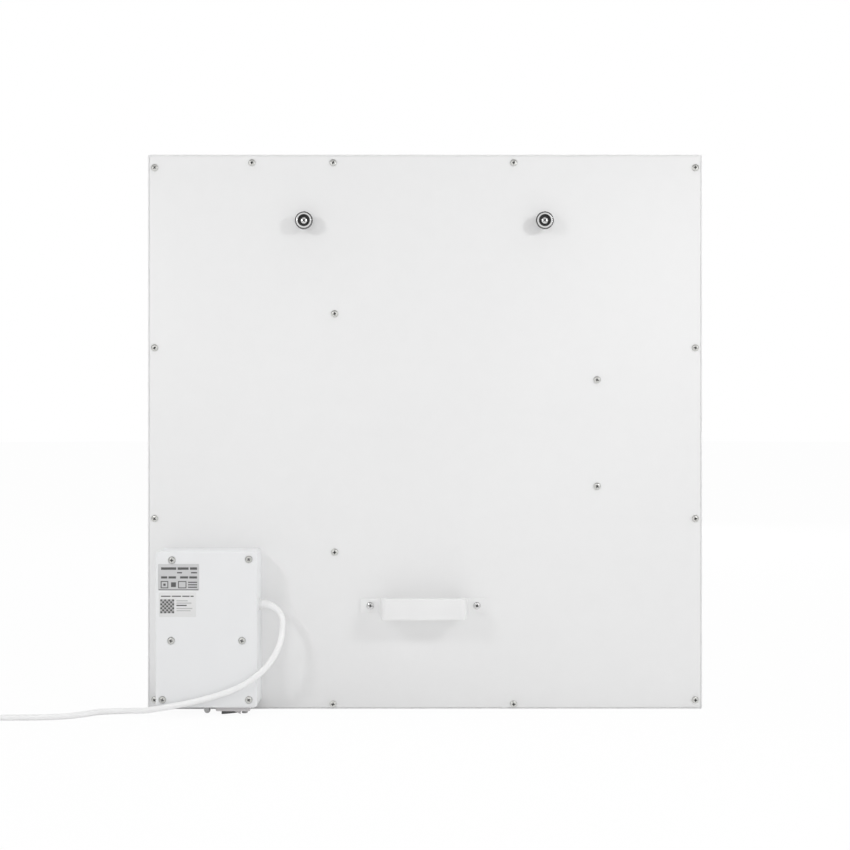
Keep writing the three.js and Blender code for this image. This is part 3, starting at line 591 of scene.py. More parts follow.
@dataclass(frozen=True)
class Tracks(Finish):
    """A dark sheet with evenly spaced conductor strips between two upright bars."""

    strip: Colour = shade(120, (1.0, 0.72, 0.5))
    pitch: float = 0.008
    bar: float = 0.283
    metal: float = 0.6

    def surface(self, graph: Graph) -> dict[str | int, Value]:
        """The values of the shader's sockets.

        Args:
            graph: The material's graph.

        Returns:
            The values by socket name.
        """
        across, _, up = graph.axes()
        edge = graph.cloud(60.0, 2.0) * (self.pitch * 0.05)
        strips = (up.swing(self.pitch / 2) + edge) > self.pitch * 0.28
        ends = (abs(across) > self.bar).most(strips)
        fine = graph.cloud(900.0, 2.0)
        return {
            "Base Color": graph.mix(ends, self.varied(graph, fine, 0.1), self.strip),
            "Metallic": ends * self.metal,
            "Roughness": self.roughness + fine * 0.1,
            "Normal": graph.bump(ends, 0.00002, 0.5),
        }


@dataclass(frozen=True)
class Wool(Finish):
    """A felted mineral mat: tangled fibres and darker tufts."""

    def surface(self, graph: Graph) -> dict[str | int, Value]:
        """The values of the shader's sockets.

        Args:
            graph: The material's graph.

        Returns:
            The values by socket name.
        """
        long = graph.cloud(260.0, 4.0, (1.0, 1.0, 6.0))
        short = graph.cloud(320.0, 4.0, (6.0, 1.0, 1.0))
        tufts = graph.cloud(35.0, 3.0)
        fibres = long.most(short)
        return {
            "Base Color": self.varied(graph, fibres * 0.6 + tufts * 0.4, 0.18),
            "Roughness": self.roughness,
            "Normal": graph.bump(fibres, 0.0006, 0.8),
        }


@dataclass(frozen=True)
class Foil(Finish):
    """Bright foil, crinkled as it was laid."""

    def surface(self, graph: Graph) -> dict[str | int, Value]:
        """The values of the shader's sockets.

        Args:
            graph: The material's graph.

        Returns:
            The values by socket name.
        """
        creases = graph.cells(45.0, Cells.EDGE).ramp(0.0, 0.15)
        ripples = graph.cloud(30.0, 3.0)
        return {
            "Base Color": self.varied(graph, ripples, 0.06),
            "Metallic": 1.0,
            "Roughness": self.roughness + ripples * 0.1,
            "Normal": graph.bump(creases * 0.5 + ripples, 0.0006, 0.7),
        }


@dataclass(frozen=True)
class Striped(Finish):
    """A sheathed wire whose second colour winds round it."""

    second: Colour = shade(200, (1.0, 0.85, 0.1))
    width: float = 0.004

    def surface(self, graph: Graph) -> dict[str | int, Value]:
        """The values of the shader's sockets.

        Args:
            graph: The material's graph.

        Returns:
            The values by socket name.
        """
        across, deep, up = graph.axes()
        stripe = (across + up + deep).swing(self.width) > self.width * 0.55
        fine = graph.cloud(1200.0, 2.0)
        return {
            "Base Color": graph.mix(stripe, self.varied(graph, fine, 0.05), self.second),
            "Roughness": self.roughness + fine * 0.08,
            "Normal": graph.bump(fine, 0.00002, 0.4),
        }


@dataclass(frozen=True)
class CircuitBoard(Finish):
    """A coated circuit board with copper runs under the lacquer and solder spots."""

    def surface(self, graph: Graph) -> dict[str | int, Value]:
        """The values of the shader's sockets.

        Args:
            graph: The material's graph.

        Returns:
            The values by socket name.
        """
        runs = graph.cells(160.0, Cells.EDGE, loose=0.6) < 0.06
        spots = graph.cells(220.0) < 0.16
        weave = graph.cloud(1500.0, 1.0)
        lacquer = graph.mix(runs, self.varied(graph, weave, 0.06), times(self.colour, 1.8))
        return {
            "Base Color": graph.mix(spots, lacquer, shade(190)),
            "Metallic": spots * 0.8,
            "Roughness": self.roughness - spots * 0.15,
            "Normal": graph.bump(runs.most(spots), 0.00003, 0.6),
        }


@dataclass(frozen=True)
class Film(Finish):
    """Printed film stuck on a flat place, with its faint roll grain."""

    sheen: float = 0.0

    def surface(self, graph: Graph) -> dict[str | int, Value]:
        """The values of the shader's sockets.

        Args:
            graph: The material's graph.

        Returns:
            The values by socket name.
        """
        roll = graph.cloud(500.0, 2.0, (1.0, 1.0, 10.0))
        lift = graph.cloud(40.0, 2.0)
        return {
            "Base Color": self.varied(graph, roll, 0.02),
            "Metallic": self.sheen,
            "Roughness": self.roughness + roll * 0.06,
            "Normal": graph.bump(lift, 0.00008, 0.4),
        }


BLUISH = (0.993, 0.996, 1.0)
STEEL_BACK = PowderCoat("back_powder_coat", Slot.WHITE_STEEL, shade(240), 0.5)
STEEL_TRAY = PowderCoat("tray_powder_coat", Slot.WHITE_STEEL, shade(241), 0.48, clouding=0.008)
BOX_PLASTIC = Moulding("box_plastic", Slot.WHITE_PLASTIC, shade(243, BLUISH), 0.48)
LID_PLASTIC = Moulding("lid_plastic", Slot.WHITE_PLASTIC, shade(240, BLUISH), 0.42)
HANDLE_PLASTIC = Moulding("handle_plastic", Slot.WHITE_PLASTIC, shade(239), 0.4, grain=1100.0)
STUD_CHROME = TurnedMetal("stud_chrome", Slot.CHROME, shade(214), 0.2)
# Painted reflection: a dark colour on the stud's chamfer stands in for the dark surroundings that it
# mirrors.
STUD_RIM_PAINTED_REFLECTION = TurnedMetal("stud_rim_painted_reflection", Slot.CHROME, shade(104), 0.24)
# Painted shade: a dark colour inside the stud's sink stands in for the shade that falls there.
STUD_SINK_PAINTED_SHADE = TurnedMetal("stud_sink_painted_shade", Slot.CHROME, shade(70), 0.45)
SCREW_ZINC = Plating("screw_zinc", Slot.SCREW_STEEL, shade(206, (1.0, 1.0, 0.985)), 0.4)
SCREW_BRIGHT = Plating("screw_bright", Slot.SCREW_STEEL, shade(215), 0.26, cloudiness=0.1)
# Painted shade: a dark colour in the screws' cross recesses stands in for the shade that falls in them.
RECESS_PAINTED_SHADE = Plating("screw_recess_painted_shade", Slot.SCREW_STEEL, shade(66), 0.6)
SCREW_DULL = Plating("screw_dull", Slot.SCREW_STEEL, shade(204, (1.0, 1.0, 0.985)), 0.5)
# Painted shade, paler, in the cross recesses of the lid screws.
RECESS_PAINTED_PALE_SHADE = Plating("screw_recess_painted_pale_shade", Slot.SCREW_STEEL, shade(132), 0.6)
RAIL_ZINC = Spangle("rail_zinc", Slot.GALVANISED, shade(190), 0.4)
FILM_DARK = Tracks("film_tracks", Slot.FILM, shade(48), 0.6)
MAT_WOOL = Wool("mat_wool", Slot.MAT, shade(214, (1.0, 0.96, 0.8)), 0.95)
FOIL_BRIGHT = Foil("foil_bright", Slot.FOIL, shade(225), 0.2)
BEZEL_PLASTIC = Moulding("bezel_plastic", Slot.BEZEL, shade(206, (1.0, 0.985, 0.99)), 0.4)
ROCKER_PLASTIC = Moulding("rocker_plastic", Slot.ROCKER, shade(62), 0.3, coat=0.4)
BUTTON_PLASTIC = Moulding("button_plastic", Slot.BUTTON, shade(172), 0.36)
LENS_ACRYLIC = Moulding("lens_acrylic", Slot.LENS, shade(178), 0.14, depth=0.00001, coat=1.0)
BOARD_LACQUER = CircuitBoard("board_lacquer", Slot.BOARD, shade(96, (0.3, 1.0, 0.5)), 0.4)
RELAY_CASE = Moulding("relay_case", Slot.RELAY, shade(46), 0.45)
TERMINAL_NYLON = Moulding("terminal_nylon", Slot.TERMINAL, shade(225, (1.0, 0.99, 0.95)), 0.55)
CLAMP_NYLON = Moulding("clamp_nylon", Slot.CLAMP, shade(90), 0.6)
GLAND_RUBBER = Moulding("gland_rubber", Slot.GLAND, shade(231), 0.55, grain=900.0)
RELIEF_RUBBER = Moulding("relief_rubber", Slot.GLAND, shade(245), 0.55, grain=900.0)
WIRE_BROWN = Moulding("wire_brown", Slot.WIRE_LIVE, shade(120, (1.0, 0.62, 0.4)), 0.5)
WIRE_BLUE = Moulding("wire_blue", Slot.WIRE_NEUTRAL, shade(190, (0.25, 0.5, 1.0)), 0.5)
WIRE_EARTH = Striped("wire_earth", Slot.WIRE_EARTH, shade(150, (0.25, 1.0, 0.4)), 0.5)
CORD_SHEATH = Moulding("cord_sheath", Slot.CORD, shade(248), 0.42, grain=700.0, depth=0.00005)
PLUG_SHELL = Moulding("plug_shell", Slot.PLUG, shade(238), 0.46, grain=900.0)
PIN_NICKEL = Plating("pin_nickel", Slot.PINS, shade(214, (1.0, 0.98, 0.92)), 0.22)
LABEL_SILVER = Film("label_silver", Slot.WHITE_PLASTIC, shade(203, (1.0, 1.0, 1.005)), 0.45, 0.1)
LABEL_WHITE = Film("label_white", Slot.WHITE_PLASTIC, shade(229), 0.5)
PRINT_GREY = Film("print_grey", Slot.WHITE_PLASTIC, shade(92), 0.6)
PRINT_PALE = Film("print_pale", Slot.WHITE_PLASTIC, shade(184), 0.6)


# ---------------------------------------------------------------- mesh code


class Form:
    """A mesh under construction, in millimetres: X, distance behind and Z."""

    def __init__(self) -> None:
        """Starts an empty mesh."""
        self.mesh = bmesh.new()

    def _ring(self, points: Iterable[Point]) -> list[bmesh.types.BMVert]:
        """Vertices at a ring's points, or one vertex where they all fall together.

        Args:
            points: The points.

        Returns:
            The vertices.
        """
        corners = [Vector((x, -behind, z)) / 1000 for x, behind, z in points]
        if all((corner - corners[0]).length < 1e-7 for corner in corners):
            corners = corners[:1]
        return [self.mesh.verts.new(corner) for corner in corners]

    def _bridge(
        self, first: Sequence[bmesh.types.BMVert], second: Sequence[bmesh.types.BMVert], mark: int
    ) -> None:
        """Faces between two rings, either of which may be one vertex.

        Args:
            first: The first ring.
            second: The second ring.
            mark: The faces' place in the list of finishes.
        """
        count = max(len(first), len(second))
        for i in range(count if count > 1 else 0):
            j = (i + 1) % count
            corners = [first[i % len(first)], first[j % len(first)]]
            corners += [second[j % len(second)], second[i % len(second)]]
            unique = list(dict.fromkeys(corners))
            if len(unique) > 2:
                self.mesh.faces.new(unique).material_index = mark

    def skin(self, rings: Iterable[Sequence[Point]], mark: int = 0, closed: bool = False) -> "Form":
        """A solid through closed outlines of the same number of points.

        Args:
            rings: The outlines in order.
            mark: The faces' place in the list of finishes.
            closed: True to join the last outline to the first instead of capping both.

        Returns:
            This form.
        """
        made = [self._ring(ring) for ring in rings]
        for first, second in zip(made, made[1:]):
            self._bridge(first, second, mark)
        if closed:
            self._bridge(made[-1], made[0], mark)
            return self
        for ring in made if len(made) == 1 else (made[0], made[-1]):
            if len(ring) > 2:
                self.mesh.faces.new(ring).material_index = mark
        return self

    def prism(
        self, outline: Sequence[Flat], start: float, end: float, axis: Axis, mark: int = 0
    ) -> "Form":
        """An outline drawn out along an axis.

        Args:
            outline: The outline's points across the axis.
            start: Where it starts along the axis.
            end: Where it ends.
            axis: The axis.
            mark: The faces' place in the list of finishes.

        Returns:
            This form.
        """
        rings = ([axis.place(a, b, along) for a, b in outline] for along in (start, end))
        return self.skin(rings, mark)

    def block(self, low: Point, high: Point, mark: int = 0) -> "Form":
        """A block between two corners."""
        outline = [(low[0], low[1]), (high[0], low[1]), (high[0], high[1]), (low[0], high[1])]
        return self.prism(outline, low[2], high[2], Axis.UP, mark)

    def turn(
        self,
        profile: Sequence[Flat],
        axis: Axis,
        place: Point = ORIGIN,
        count: int = 48,
        closed: bool = False,
        mark: int = 0,
    ) -> "Form":
        """A profile of radius and height turned about an axis.

        Args:
            profile: The profile's points.
            axis: The axis.
            place: Where the profile's origin is.
            count: The number of sides.
            closed: True where the profile is a closed loop off the axis.
            mark: The faces' place in the list of finishes.

        Returns:
            This form.
        """

        def ring(radius: float, height: float) -> list[Point]:
            """The ring of one profile point."""
            points = [axis.place(a, b, height) for a, b in disc((0.0, 0.0), radius, count)]
            return [(x + place[0], behind + place[1], z + place[2]) for x, behind, z in points]

        return self.skin([ring(radius, height) for radius, height in profile], mark, closed)

    def rod(
        self, radius: float, start: float, end: float, axis: Axis, place: Point, count: int = 40
    ) -> "Form":
        """A plain round rod between two places along an axis."""
        profile = [(0.0, start), (radius, start), (radius, end), (0.0, end)]
        return self.turn(profile, axis, place, count)

    def round_edges(self, width: float, steps: int, least: float = 30.0) -> "Form":
        """Rounds every edge that turns by more than an angle.

        Args:
            width: The rounding in millimetres.
            steps: The number of facets across it.
            least: The least angle in degrees.

        Returns:
            This form.
        """
        bmesh.ops.recalc_face_normals(self.mesh, faces=self.mesh.faces)
        limit = math.radians(least)
        edges = [e for e in self.mesh.edges if e.calc_face_angle(0.0) > limit]
        bmesh.ops.bevel(
            self.mesh,
            geom=edges,
            offset=width / 1000,
            segments=steps,
            profile=0.5,
            affect="EDGES",
            clamp_overlap=True,
        )
        return self

    def piece(
        self, name: str, *finishes: Finish, place: Point = ORIGIN, crease: float = 35.0
    ) -> bpy.types.Object:
        """Turns the form into an object.

        Args:
            name: The object's name.
            finishes: Its finishes, in the order of the faces' marks.
            place: Where the form's origin is.
            crease: The angle in degrees above which an edge stays sharp.

        Returns:
            The object.
        """
        bmesh.ops.remove_doubles(self.mesh, verts=self.mesh.verts, dist=1e-7)
        bmesh.ops.recalc_face_normals(self.mesh, faces=self.mesh.faces)
        data = bpy.data.meshes.new(name)
        self.mesh.to_mesh(data)
        self.mesh.free()
        for finish in finishes:
            data.materials.append(finish.material())
        made = link(name, data)
        made.location = Vector((place[0], BACK_Y - place[1], place[2])) / 1000
        smooth(made, crease)
        return made


def link(name: str, data: bpy.types.ID) -> bpy.types.Object:
    """An object in the scene with its mesh, curve, lamp or camera."""
    made = bpy.data.objects.new(name, data)
    bpy.context.scene.collection.objects.link(made)
    return made


def smooth(piece: bpy.types.Object, crease: float = 35.0) -> None:
    """Shades a piece smooth but for its sharp edges.

    Args:
        piece: The piece.
        crease: The angle in degrees above which an edge stays sharp.
    """
    piece.data.shade_smooth()
    piece.data.set_sharp_from_angle(angle=math.radians(crease))


def settle(piece: bpy.types.Object) -> None:
    """Applies a piece's modifiers to its mesh.

    Args:
        piece: The piece.
    """
    bpy.context.view_layer.update()
    graph = bpy.context.evaluated_depsgraph_get()
    data = bpy.data.meshes.new_from_object(piece.evaluated_get(graph))
    piece.modifiers.clear()
    old, piece.data = piece.data, data
    data.name = piece.name
    bpy.data.meshes.remove(old)


def discard(piece: bpy.types.Object) -> None:
    """Removes a piece and its mesh.

    Args:
        piece: The piece.
    """
    data = piece.data
    bpy.data.objects.remove(piece)
    bpy.data.meshes.remove(data)


def reopened(piece: bpy.types.Object) -> Form:
    """A form with a piece's mesh, instead of the piece.

    Args:
        piece: The piece.

    Returns:
        The form.
    """
    form = Form()
    form.mesh.from_mesh(piece.data)
    discard(piece)
    return form


def carve(piece: bpy.types.Object, how: Join, *tools: Form) -> None:
    """Changes a piece by other solids.

    Args:
        piece: The piece.
        how: What each tool does to it.
        tools: The other solids, in the piece's own coordinates.
    """
    for form in tools:
        tool = form.piece("tool")
        tool.location = piece.location
        modifier = piece.modifiers.new("carve", "BOOLEAN")
        modifier.operation = how.value
        modifier.solver = "EXACT"
        modifier.object = tool
        settle(piece)
        discard(tool)
    smooth(piece)


def soften(piece: bpy.types.Object, width: float, steps: int, least: float) -> None:
    """Rounds a finished piece's edges.

    Args:
        piece: The piece.
        width: The rounding in millimetres.
        steps: The number of facets across it.
        least: The least angle in degrees.
    """
    modifier = piece.modifiers.new("soften", "BEVEL")
    modifier.width = width / 1000
    modifier.segments = steps
    modifier.limit_method = "ANGLE"
    modifier.angle_limit = math.radians(least)
    settle(piece)
    smooth(piece)


def rounded(low: Flat, high: Flat, radius: float, steps: int = 8) -> list[Flat]:
    """A rounded rectangle.

    Args:
        low: Its lower corner.
        high: Its upper corner.
        radius: Its corner radius.
        steps: The number of facets in a corner.

    Returns:
        Its outline.
    """
    centres = [
        (high[0] - radius, high[1] - radius),
        (low[0] + radius, high[1] - radius),
        (low[0] + radius, low[1] + radius),
        (high[0] - radius, low[1] + radius),
    ]
    outline = []
    for corner, (a, b) in enumerate(centres):
        for step in range(steps + 1):
            angle = math.pi / 2 * (corner + step / steps)
            outline.append((a + radius * math.cos(angle), b + radius * math.sin(angle)))
    return outline


def disc(centre: Flat, radius: float, count: int = 48) -> list[Flat]:
    """A circle's outline."""
    angles = (2 * math.pi * i / count for i in range(count))
    return [(centre[0] + radius * math.cos(a), centre[1] + radius * math.sin(a)) for a in angles]


def arc(centre: Flat, radius: float, start: float, end: float, steps: int = 5) -> list[Flat]:
    """Points of an arc.

    Args:
        centre: Its centre.
        radius: Its radius.
        start: Its first angle in degrees.
        end: Its last angle in degrees.
        steps: The number of facets.

    Returns:
        Its points, ends among them.
    """
    angles = [math.radians(start + (end - start) * i / steps) for i in range(steps + 1)]
    return [(centre[0] + radius * math.cos(a), centre[1] + radius * math.sin(a)) for a in angles]


def flowing(points: Sequence[Point], step: float) -> list[Vector]:
    """A centripetal curve through points, as the CAD model draws it.

    Args:
        points: The points to go through.
        step: The greatest distance between the curve's own points.

    Returns:
        Points along the curve.
    """
    knots = [Vector(point) for point in points]
    ends = [2 * knots[0] - knots[1], *knots, 2 * knots[-1] - knots[-2]]
    curve = [knots[0]]
    for p0, p1, p2, p3 in zip(ends, ends[1:], ends[2:], ends[3:]):
        t1 = (p1 - p0).length ** 0.5
        t2 = t1 + (p2 - p1).length ** 0.5
        t3 = t2 + (p3 - p2).length ** 0.5
        count = max(2, math.ceil((p2 - p1).length / step))
        for i in range(1, count + 1):
            t = t1 + (t2 - t1) * i / count
            a1 = p0 * ((t1 - t) / t1) + p1 * (t / t1)
            a2 = p1 * ((t2 - t) / (t2 - t1)) + p2 * ((t - t1) / (t2 - t1))
            a3 = p2 * ((t3 - t) / (t3 - t2)) + p3 * ((t - t2) / (t3 - t2))
            b1 = a1 * ((t2 - t) / t2) + a2 * (t / t2)
            b2 = a2 * ((t3 - t) / (t3 - t1)) + a3 * ((t - t1) / (t3 - t1))
            curve.append(b1 * ((t2 - t) / (t2 - t1)) + b2 * ((t - t1) / (t2 - t1)))
    return curve


def collars(path: Sequence[Vector], radii: Sequence[float], count: int = 40) -> list[list[Point]]:
    """Circles round a path, turned as little as possible from one to the next.

    Args:
        path: The path's points.
        radii: The radius at each.
        count: The number of points in a circle.

    Returns:
        The circles.
    """
    side = Vector((0.0, 0.0, 1.0))
    circles = []
    for i, (here, radius) in enumerate(zip(path, radii)):
        ahead = (path[min(i + 1, len(path) - 1)] - path[max(i - 1, 0)]).normalized()
        side = (side - ahead * side.dot(ahead)).normalized()
        other = ahead.cross(side)
        angles = (2 * math.pi * k / count for k in range(count))
        circles.append(
            [tuple(here + radius * (side * math.cos(a) + other * math.sin(a))) for a in angles]
        )
    return circles


class SubAssembly:
    """A group of pieces that are built and handed over together."""

    def hand_over(
        self, piece: bpy.types.Object, finish: Finish, *nodes: str, body: Body = Body.ROOT
    ) -> bpy.types.Object:
        """Fixes a piece to its body and names what it stands for.

        Args:
            piece: The piece.
            finish: Its main finish; not used.
            nodes: The CAD nodes that it replaces.
            body: The body that it rides on.

        Returns:
            The piece.
        """
        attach(piece, body.value)
        if nodes:
            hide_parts(*nodes)
        size = len(piece.data.vertices) if piece.type == "MESH" else len(piece.data.splines)
        LOG.info("%s: %s for %s, size %d", type(self).__name__, piece.name, nodes or "itself", size)
        return piece

    def dress(self, node: str, finish: Finish) -> None:
        """Gives a CAD node a finish.

        Args:
            node: The node's name.
            finish: The finish.
        """
        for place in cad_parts[node].material_slots:
            place.material = finish.material()
        LOG.info("%s: CAD node %s in %s", type(self).__name__, node, finish.name)


# ---------------------------------------------------------------- camera, light and floor


@dataclass(frozen=True)
class Lamp:
    """A round soft lamp, in metres and watts, and whether gloss shows the lamp itself."""

    name: str
    place: Point
    size: float
    power: float
    glint: bool = True


@dataclass(frozen=True)
class Studio:
    """The camera of the photograph, soft plain light and a pale floor, in metres."""

    camera_distance: float = 1.5
    camera_height: float = 0.3073
    lens: float = 58.7
    lamps: tuple[Lamp, ...] = (
        Lamp("key_left", (-0.76, -0.85, 0.74), 0.2, 1.8),
        Lamp("key_right", (0.76, -0.85, 0.74), 0.2, 2.3),
        Lamp("behind", (0.0, -2.7, 0.7), 1.2, 7.0, glint=False),
        Lamp("warm_face", (0.5, 2.7, 1.1), 1.2, 14.0, glint=False),
    )
    aim: Point = (0.0, 0.0, 0.25)
    sky: float = 0.61
    sky_along: float = 0.35
    sky_around: float = 2.2
    mirror_around: float = 0.06
    floor: Finish = Finish("studio_floor", Slot.WHITE_PLASTIC, shade(246), 0.9)
    floor_radius: float = 25.0
    floor_white: float = 0.95

    def place_camera(self) -> None:
        """Sets the camera level behind the heater."""
        data = bpy.data.cameras.new("camera")
        data.lens, data.sensor_width, data.clip_end = self.lens, 36.0, 100.0
        camera = link("camera", data)
        camera.location = (0.0, BACK_Y / 1000 - self.camera_distance, self.camera_height)
        camera.rotation_euler = (math.pi / 2, 0.0, 0.0)
        bpy.context.scene.camera = camera

    def light_world(self) -> None:
        """Makes a soft sky: white to the camera, and for gloss darker to the sides and above."""
        world = bpy.data.worlds.new("studio")
        world.use_nodes = True
        bpy.context.scene.world = world
        graph = Graph(world.node_tree)
        heading = graph.node("ShaderNodeTexCoord", output="Generated")
        along = abs(graph.node("ShaderNodeSeparateXYZ", {}, {0: heading}, "Y"))
        seen, gloss = graph.ray(Ray.CAMERA).most(graph.ray(Ray.CLEAR)), graph.ray(Ray.GLOSS)
        mirrored = gloss * (self.mirror_around + (1 - self.mirror_around) * along.ramp(0.25, 0.8))
        wrap = self.sky_along + self.sky_around * (1 - along) ** 2.0
        strength = seen.most(mirrored) + (1 - seen.most(gloss)) * self.sky * wrap
        back = graph.node("ShaderNodeBackground", {}, {"Color": WHITE, "Strength": strength})
        graph.node("ShaderNodeOutputWorld", {}, {"Surface": back})

    def hang(self, lamp: Lamp) -> None:
        """Hangs a lamp that shines on the middle of the heater.

        Args:
            lamp: The lamp.
        """
        data = bpy.data.lights.new(lamp.name, "AREA")
        data.shape, data.size, data.energy = "DISK", lamp.size, lamp.power
        made = link(lamp.name, data)
        made.location = lamp.place
        made.visible_glossy = lamp.glint
        heading = Vector(self.aim) - Vector(lamp.place)
        made.rotation_euler = heading.to_track_quat("-Z", "Y").to_euler()

    def lay_floor(self) -> None:
        """Lays a wide floor that the camera sees as nearly white but for soft shadows."""
        rim = disc((0.0, 0.0), self.floor_radius * 1000, 96)
        floor = Form().skin([[(x, behind, 0.0) for x, behind in rim]]).piece("floor", self.floor)
        graph = Graph(floor.data.materials[0].node_tree)
        pale = graph.node("ShaderNodeBsdfDiffuse", {}, {"Color": self.floor.colour})
        glow = graph.node("ShaderNodeEmission", {}, {"Color": WHITE, "Strength": 1.0})
        seen = graph.ray(Ray.CAMERA).most(graph.ray(Ray.GLOSS)).most(graph.ray(Ray.CLEAR))
        share = seen * self.floor_white
        mixed = graph.node("ShaderNodeMixShader", {}, {0: share, 1: pale, 2: glow})
        graph.node("ShaderNodeOutputMaterial", {}, {"Surface": mixed})
        floor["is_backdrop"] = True

    def set_up(self) -> None:
        """Lights the scene and lays the floor."""
        self.light_world()
        for lamp in self.lamps:
            self.hang(lamp)
        self.lay_floor()
        bpy.context.scene.view_settings.view_transform = "Standard"
        LOG.info("Studio: camera, sky, %d lamps and floor", len(self.lamps))


# ---------------------------------------------------------------- mains lead


ROUTE: tuple[Point, ...] = (
    (-196.3, 20.0, 116.7), (-184.0, 20.0, 116.7), (-175.0, 20.0, 116.7), (-168.8, 20.4, 116.0),
    (-163.0, 21.5, 113.9), (-157.9, 23.1, 110.6), (-153.9, 25.4, 106.2), (-151.5, 28.4, 100.8),
    (-150.8, 32.1, 94.0), (-151.2, 36.0, 86.8), (-152.4, 39.6, 79.2), (-155.0, 42.2, 71.4),
    (-159.4, 43.9, 63.0), (-165.3, 44.8, 54.8), (-171.9, 45.0, 48.0), (-179.1, 45.0, 42.2),
    (-188.2, 45.0, 35.8), (-200.4, 45.0, 29.7), (-212.9, 45.0, 25.1), (-224.5, 45.0, 21.5),
    (-236.6, 45.0, 18.2), (-249.0, 45.0, 15.2), (-263.5, 45.0, 12.4), (-276.0, 44.8, 10.2),
    (-287.9, 43.3, 8.0), (-298.0, 39.4, 6.3), (-308.0, 34.0, 5.1), (-320.0, 28.8, 3.8),
    (-334.0, 27.4, 3.1), (-347.0, 31.6, 3.1), (-359.0, 42.0, 3.1), (-373.0, 51.0, 3.1),
    (-392.0, 56.0, 3.1), (-416.0, 58.0, 3.1), (-445.0, 58.4, 3.1), (-474.0, 58.4, 3.1),
    (-500.0, 58.4, 3.1),
)


@dataclass(frozen=True)
class MainsLead(SubAssembly):
    """The lead from the box to its coil, with its sleeve, tie and plug."""

    radius: float = 3.1
    exit: Point = (-172.0, 20.0, 116.7)
    length: float = 1.8
    coil_x: float = -506.5
    coil_behind: float = 14.01
    arrival: float = 58.4
    inner: float = 24.0
    pitch: float = 6.8
    turns: int = 6
    tail: float = 14.88
    sleeve_start: float = -174.1
    sleeve_length: float = 26.0
    sleeve_radius: float = 4.35
    sleeve_taper: float = 0.9
    ribs: float = 6.5
    rib_depth: float = 0.22
    band: float = 2.4
    plug_x: float = -561.3
    plug_radius: float = 18.6
    plug_flat: float = 16.8
    plug_thick: float = 20.0
    nose_z: float = 9.9
    nose_ribs: int = 6
    grips: int = 7
    clip_half: float = 2.2
    pin_radius: float = 2.4
    pin_apart: float = 19.0
    pin_length: float = 19.0

    def ring_at(self, turn: float) -> float:
        """The coil's radius after a number of turns."""
        return self.inner + self.pitch * math.sqrt((turn - self.turns / 2) ** 2 + 0.01)

    @property
    def end_behind(self) -> float:
        """How far behind the back sheet the coil ends and the plug lies."""
        return self.coil_behind + self.ring_at(self.turns)

    def coil(self, per_turn: int = 64) -> list[Point]:
        """The coil's points, from where the lead arrives to the plug.

        Args:
            per_turn: The number of points in a turn.

        Returns:
            The points.
        """
        low = self.radius
        points = [(self.coil_x + before, self.arrival, low) for before in (2 * low, low)]
        for i in range(self.turns * per_turn + 1):
            turn = i / per_turn
            past = min(max((turn - self.turns / 2 + 0.25) / 0.5, 0.0), 1.0)
            climb = past * past * (3 - 2 * past)
            angle = -math.pi / 2 - 2 * math.pi * turn
            ring = self.ring_at(turn)
            points.append((
                self.coil_x + ring * math.cos(angle),
                self.coil_behind - ring * math.sin(angle),
                low + self.pitch * climb,
            ))
        x, behind, z = points[-1]
        return [*points, (x - self.tail / 2, behind, z), (x - self.tail, behind, z)]

    def lay(self) -> bpy.types.Object:
        """Makes the lead as one curve from inside the box to the plug.

        Returns:
            The lead.
        """
        path = [*(tuple(point) for point in flowing(ROUTE, 2.5)), *self.coil()]
        data = bpy.data.curves.new("mains_lead", "CURVE")
        data.dimensions = "3D"
        data.bevel_depth = self.radius / 1000
        data.bevel_resolution = 6
        data.use_fill_caps = True
        spline = data.splines.new("POLY")
        spline.points.add(len(path) - 1)
        for point, (x, behind, z) in zip(spline.points, path):
            point.co = (x / 1000, (BACK_Y - behind) / 1000, z / 1000, 1.0)
        spline.use_smooth = True
        data.materials.append(CORD_SHEATH.material())
        return self.hand_over(link("mains_lead", data), CORD_SHEATH, "power_cord", "cord_coil")

    def sleeve_at(self, share: float) -> float:
        """The sleeve's radius at a share of its length, ribbed but for its tip."""
        rib = max(0.0, math.sin(share * 2 * math.pi * self.ribs)) ** 4 if share < 0.93 else 0.0
        return self.sleeve_radius - self.sleeve_taper * share - self.rib_depth * rib

    def sleeve(self) -> bpy.types.Object:
        """Makes the tapered, ribbed sleeve where the lead leaves the gland.

        Returns:
            The sleeve.
        """
        path = flowing(ROUTE, 0.5)
        start = next(i for i, point in enumerate(path) if point.x > self.sleeve_start)
        along, kept = 0.0, [path[start]]
        for here, there in zip(path[start:], path[start + 1 :]):
            along += (there - here).length
            if along > self.sleeve_length:
                break
            kept.append(there)
        outer = [self.sleeve_at(i / (len(kept) - 1)) for i in range(len(kept))]
        outer[-1] -= 0.15
        bore = [self.radius + 0.02] * len(kept)
        form = Form().skin([*collars(kept, outer), *collars(kept, bore)[::-1]], closed=True)
        return self.hand_over(form.piece("lead_sleeve", RELIEF_RUBBER), RELIEF_RUBBER)

    def tie(self) -> bpy.types.Object:
        """Makes the thin band round both layers' turns at one side of the coil, and its knot.

        Returns:
            The tie.
        """
        lower, upper = self.radius, self.radius + self.pitch
        centres = [(-42.7, lower), (-29.1, lower), (-25.8, upper), (-39.3, upper)]
        spans = [(180.0, 270.0), (270.0, 360.0), (0.0, 90.0), (90.0, 180.0)]

        def band(radius: float, floor: float) -> list[Flat]:
            """The band's outline at a distance from the turns' middles.

            Args:
                radius: The distance from the turns' middles.
                floor: The lowest that the band may lie.

            Returns:
                The outline.
            """
            outline = []
            for centre, (start, end) in zip(centres, spans):
                outline += arc(centre, radius, start, end, 6)
            return [(self.coil_x + x, max(z, floor)) for x, z in outline]

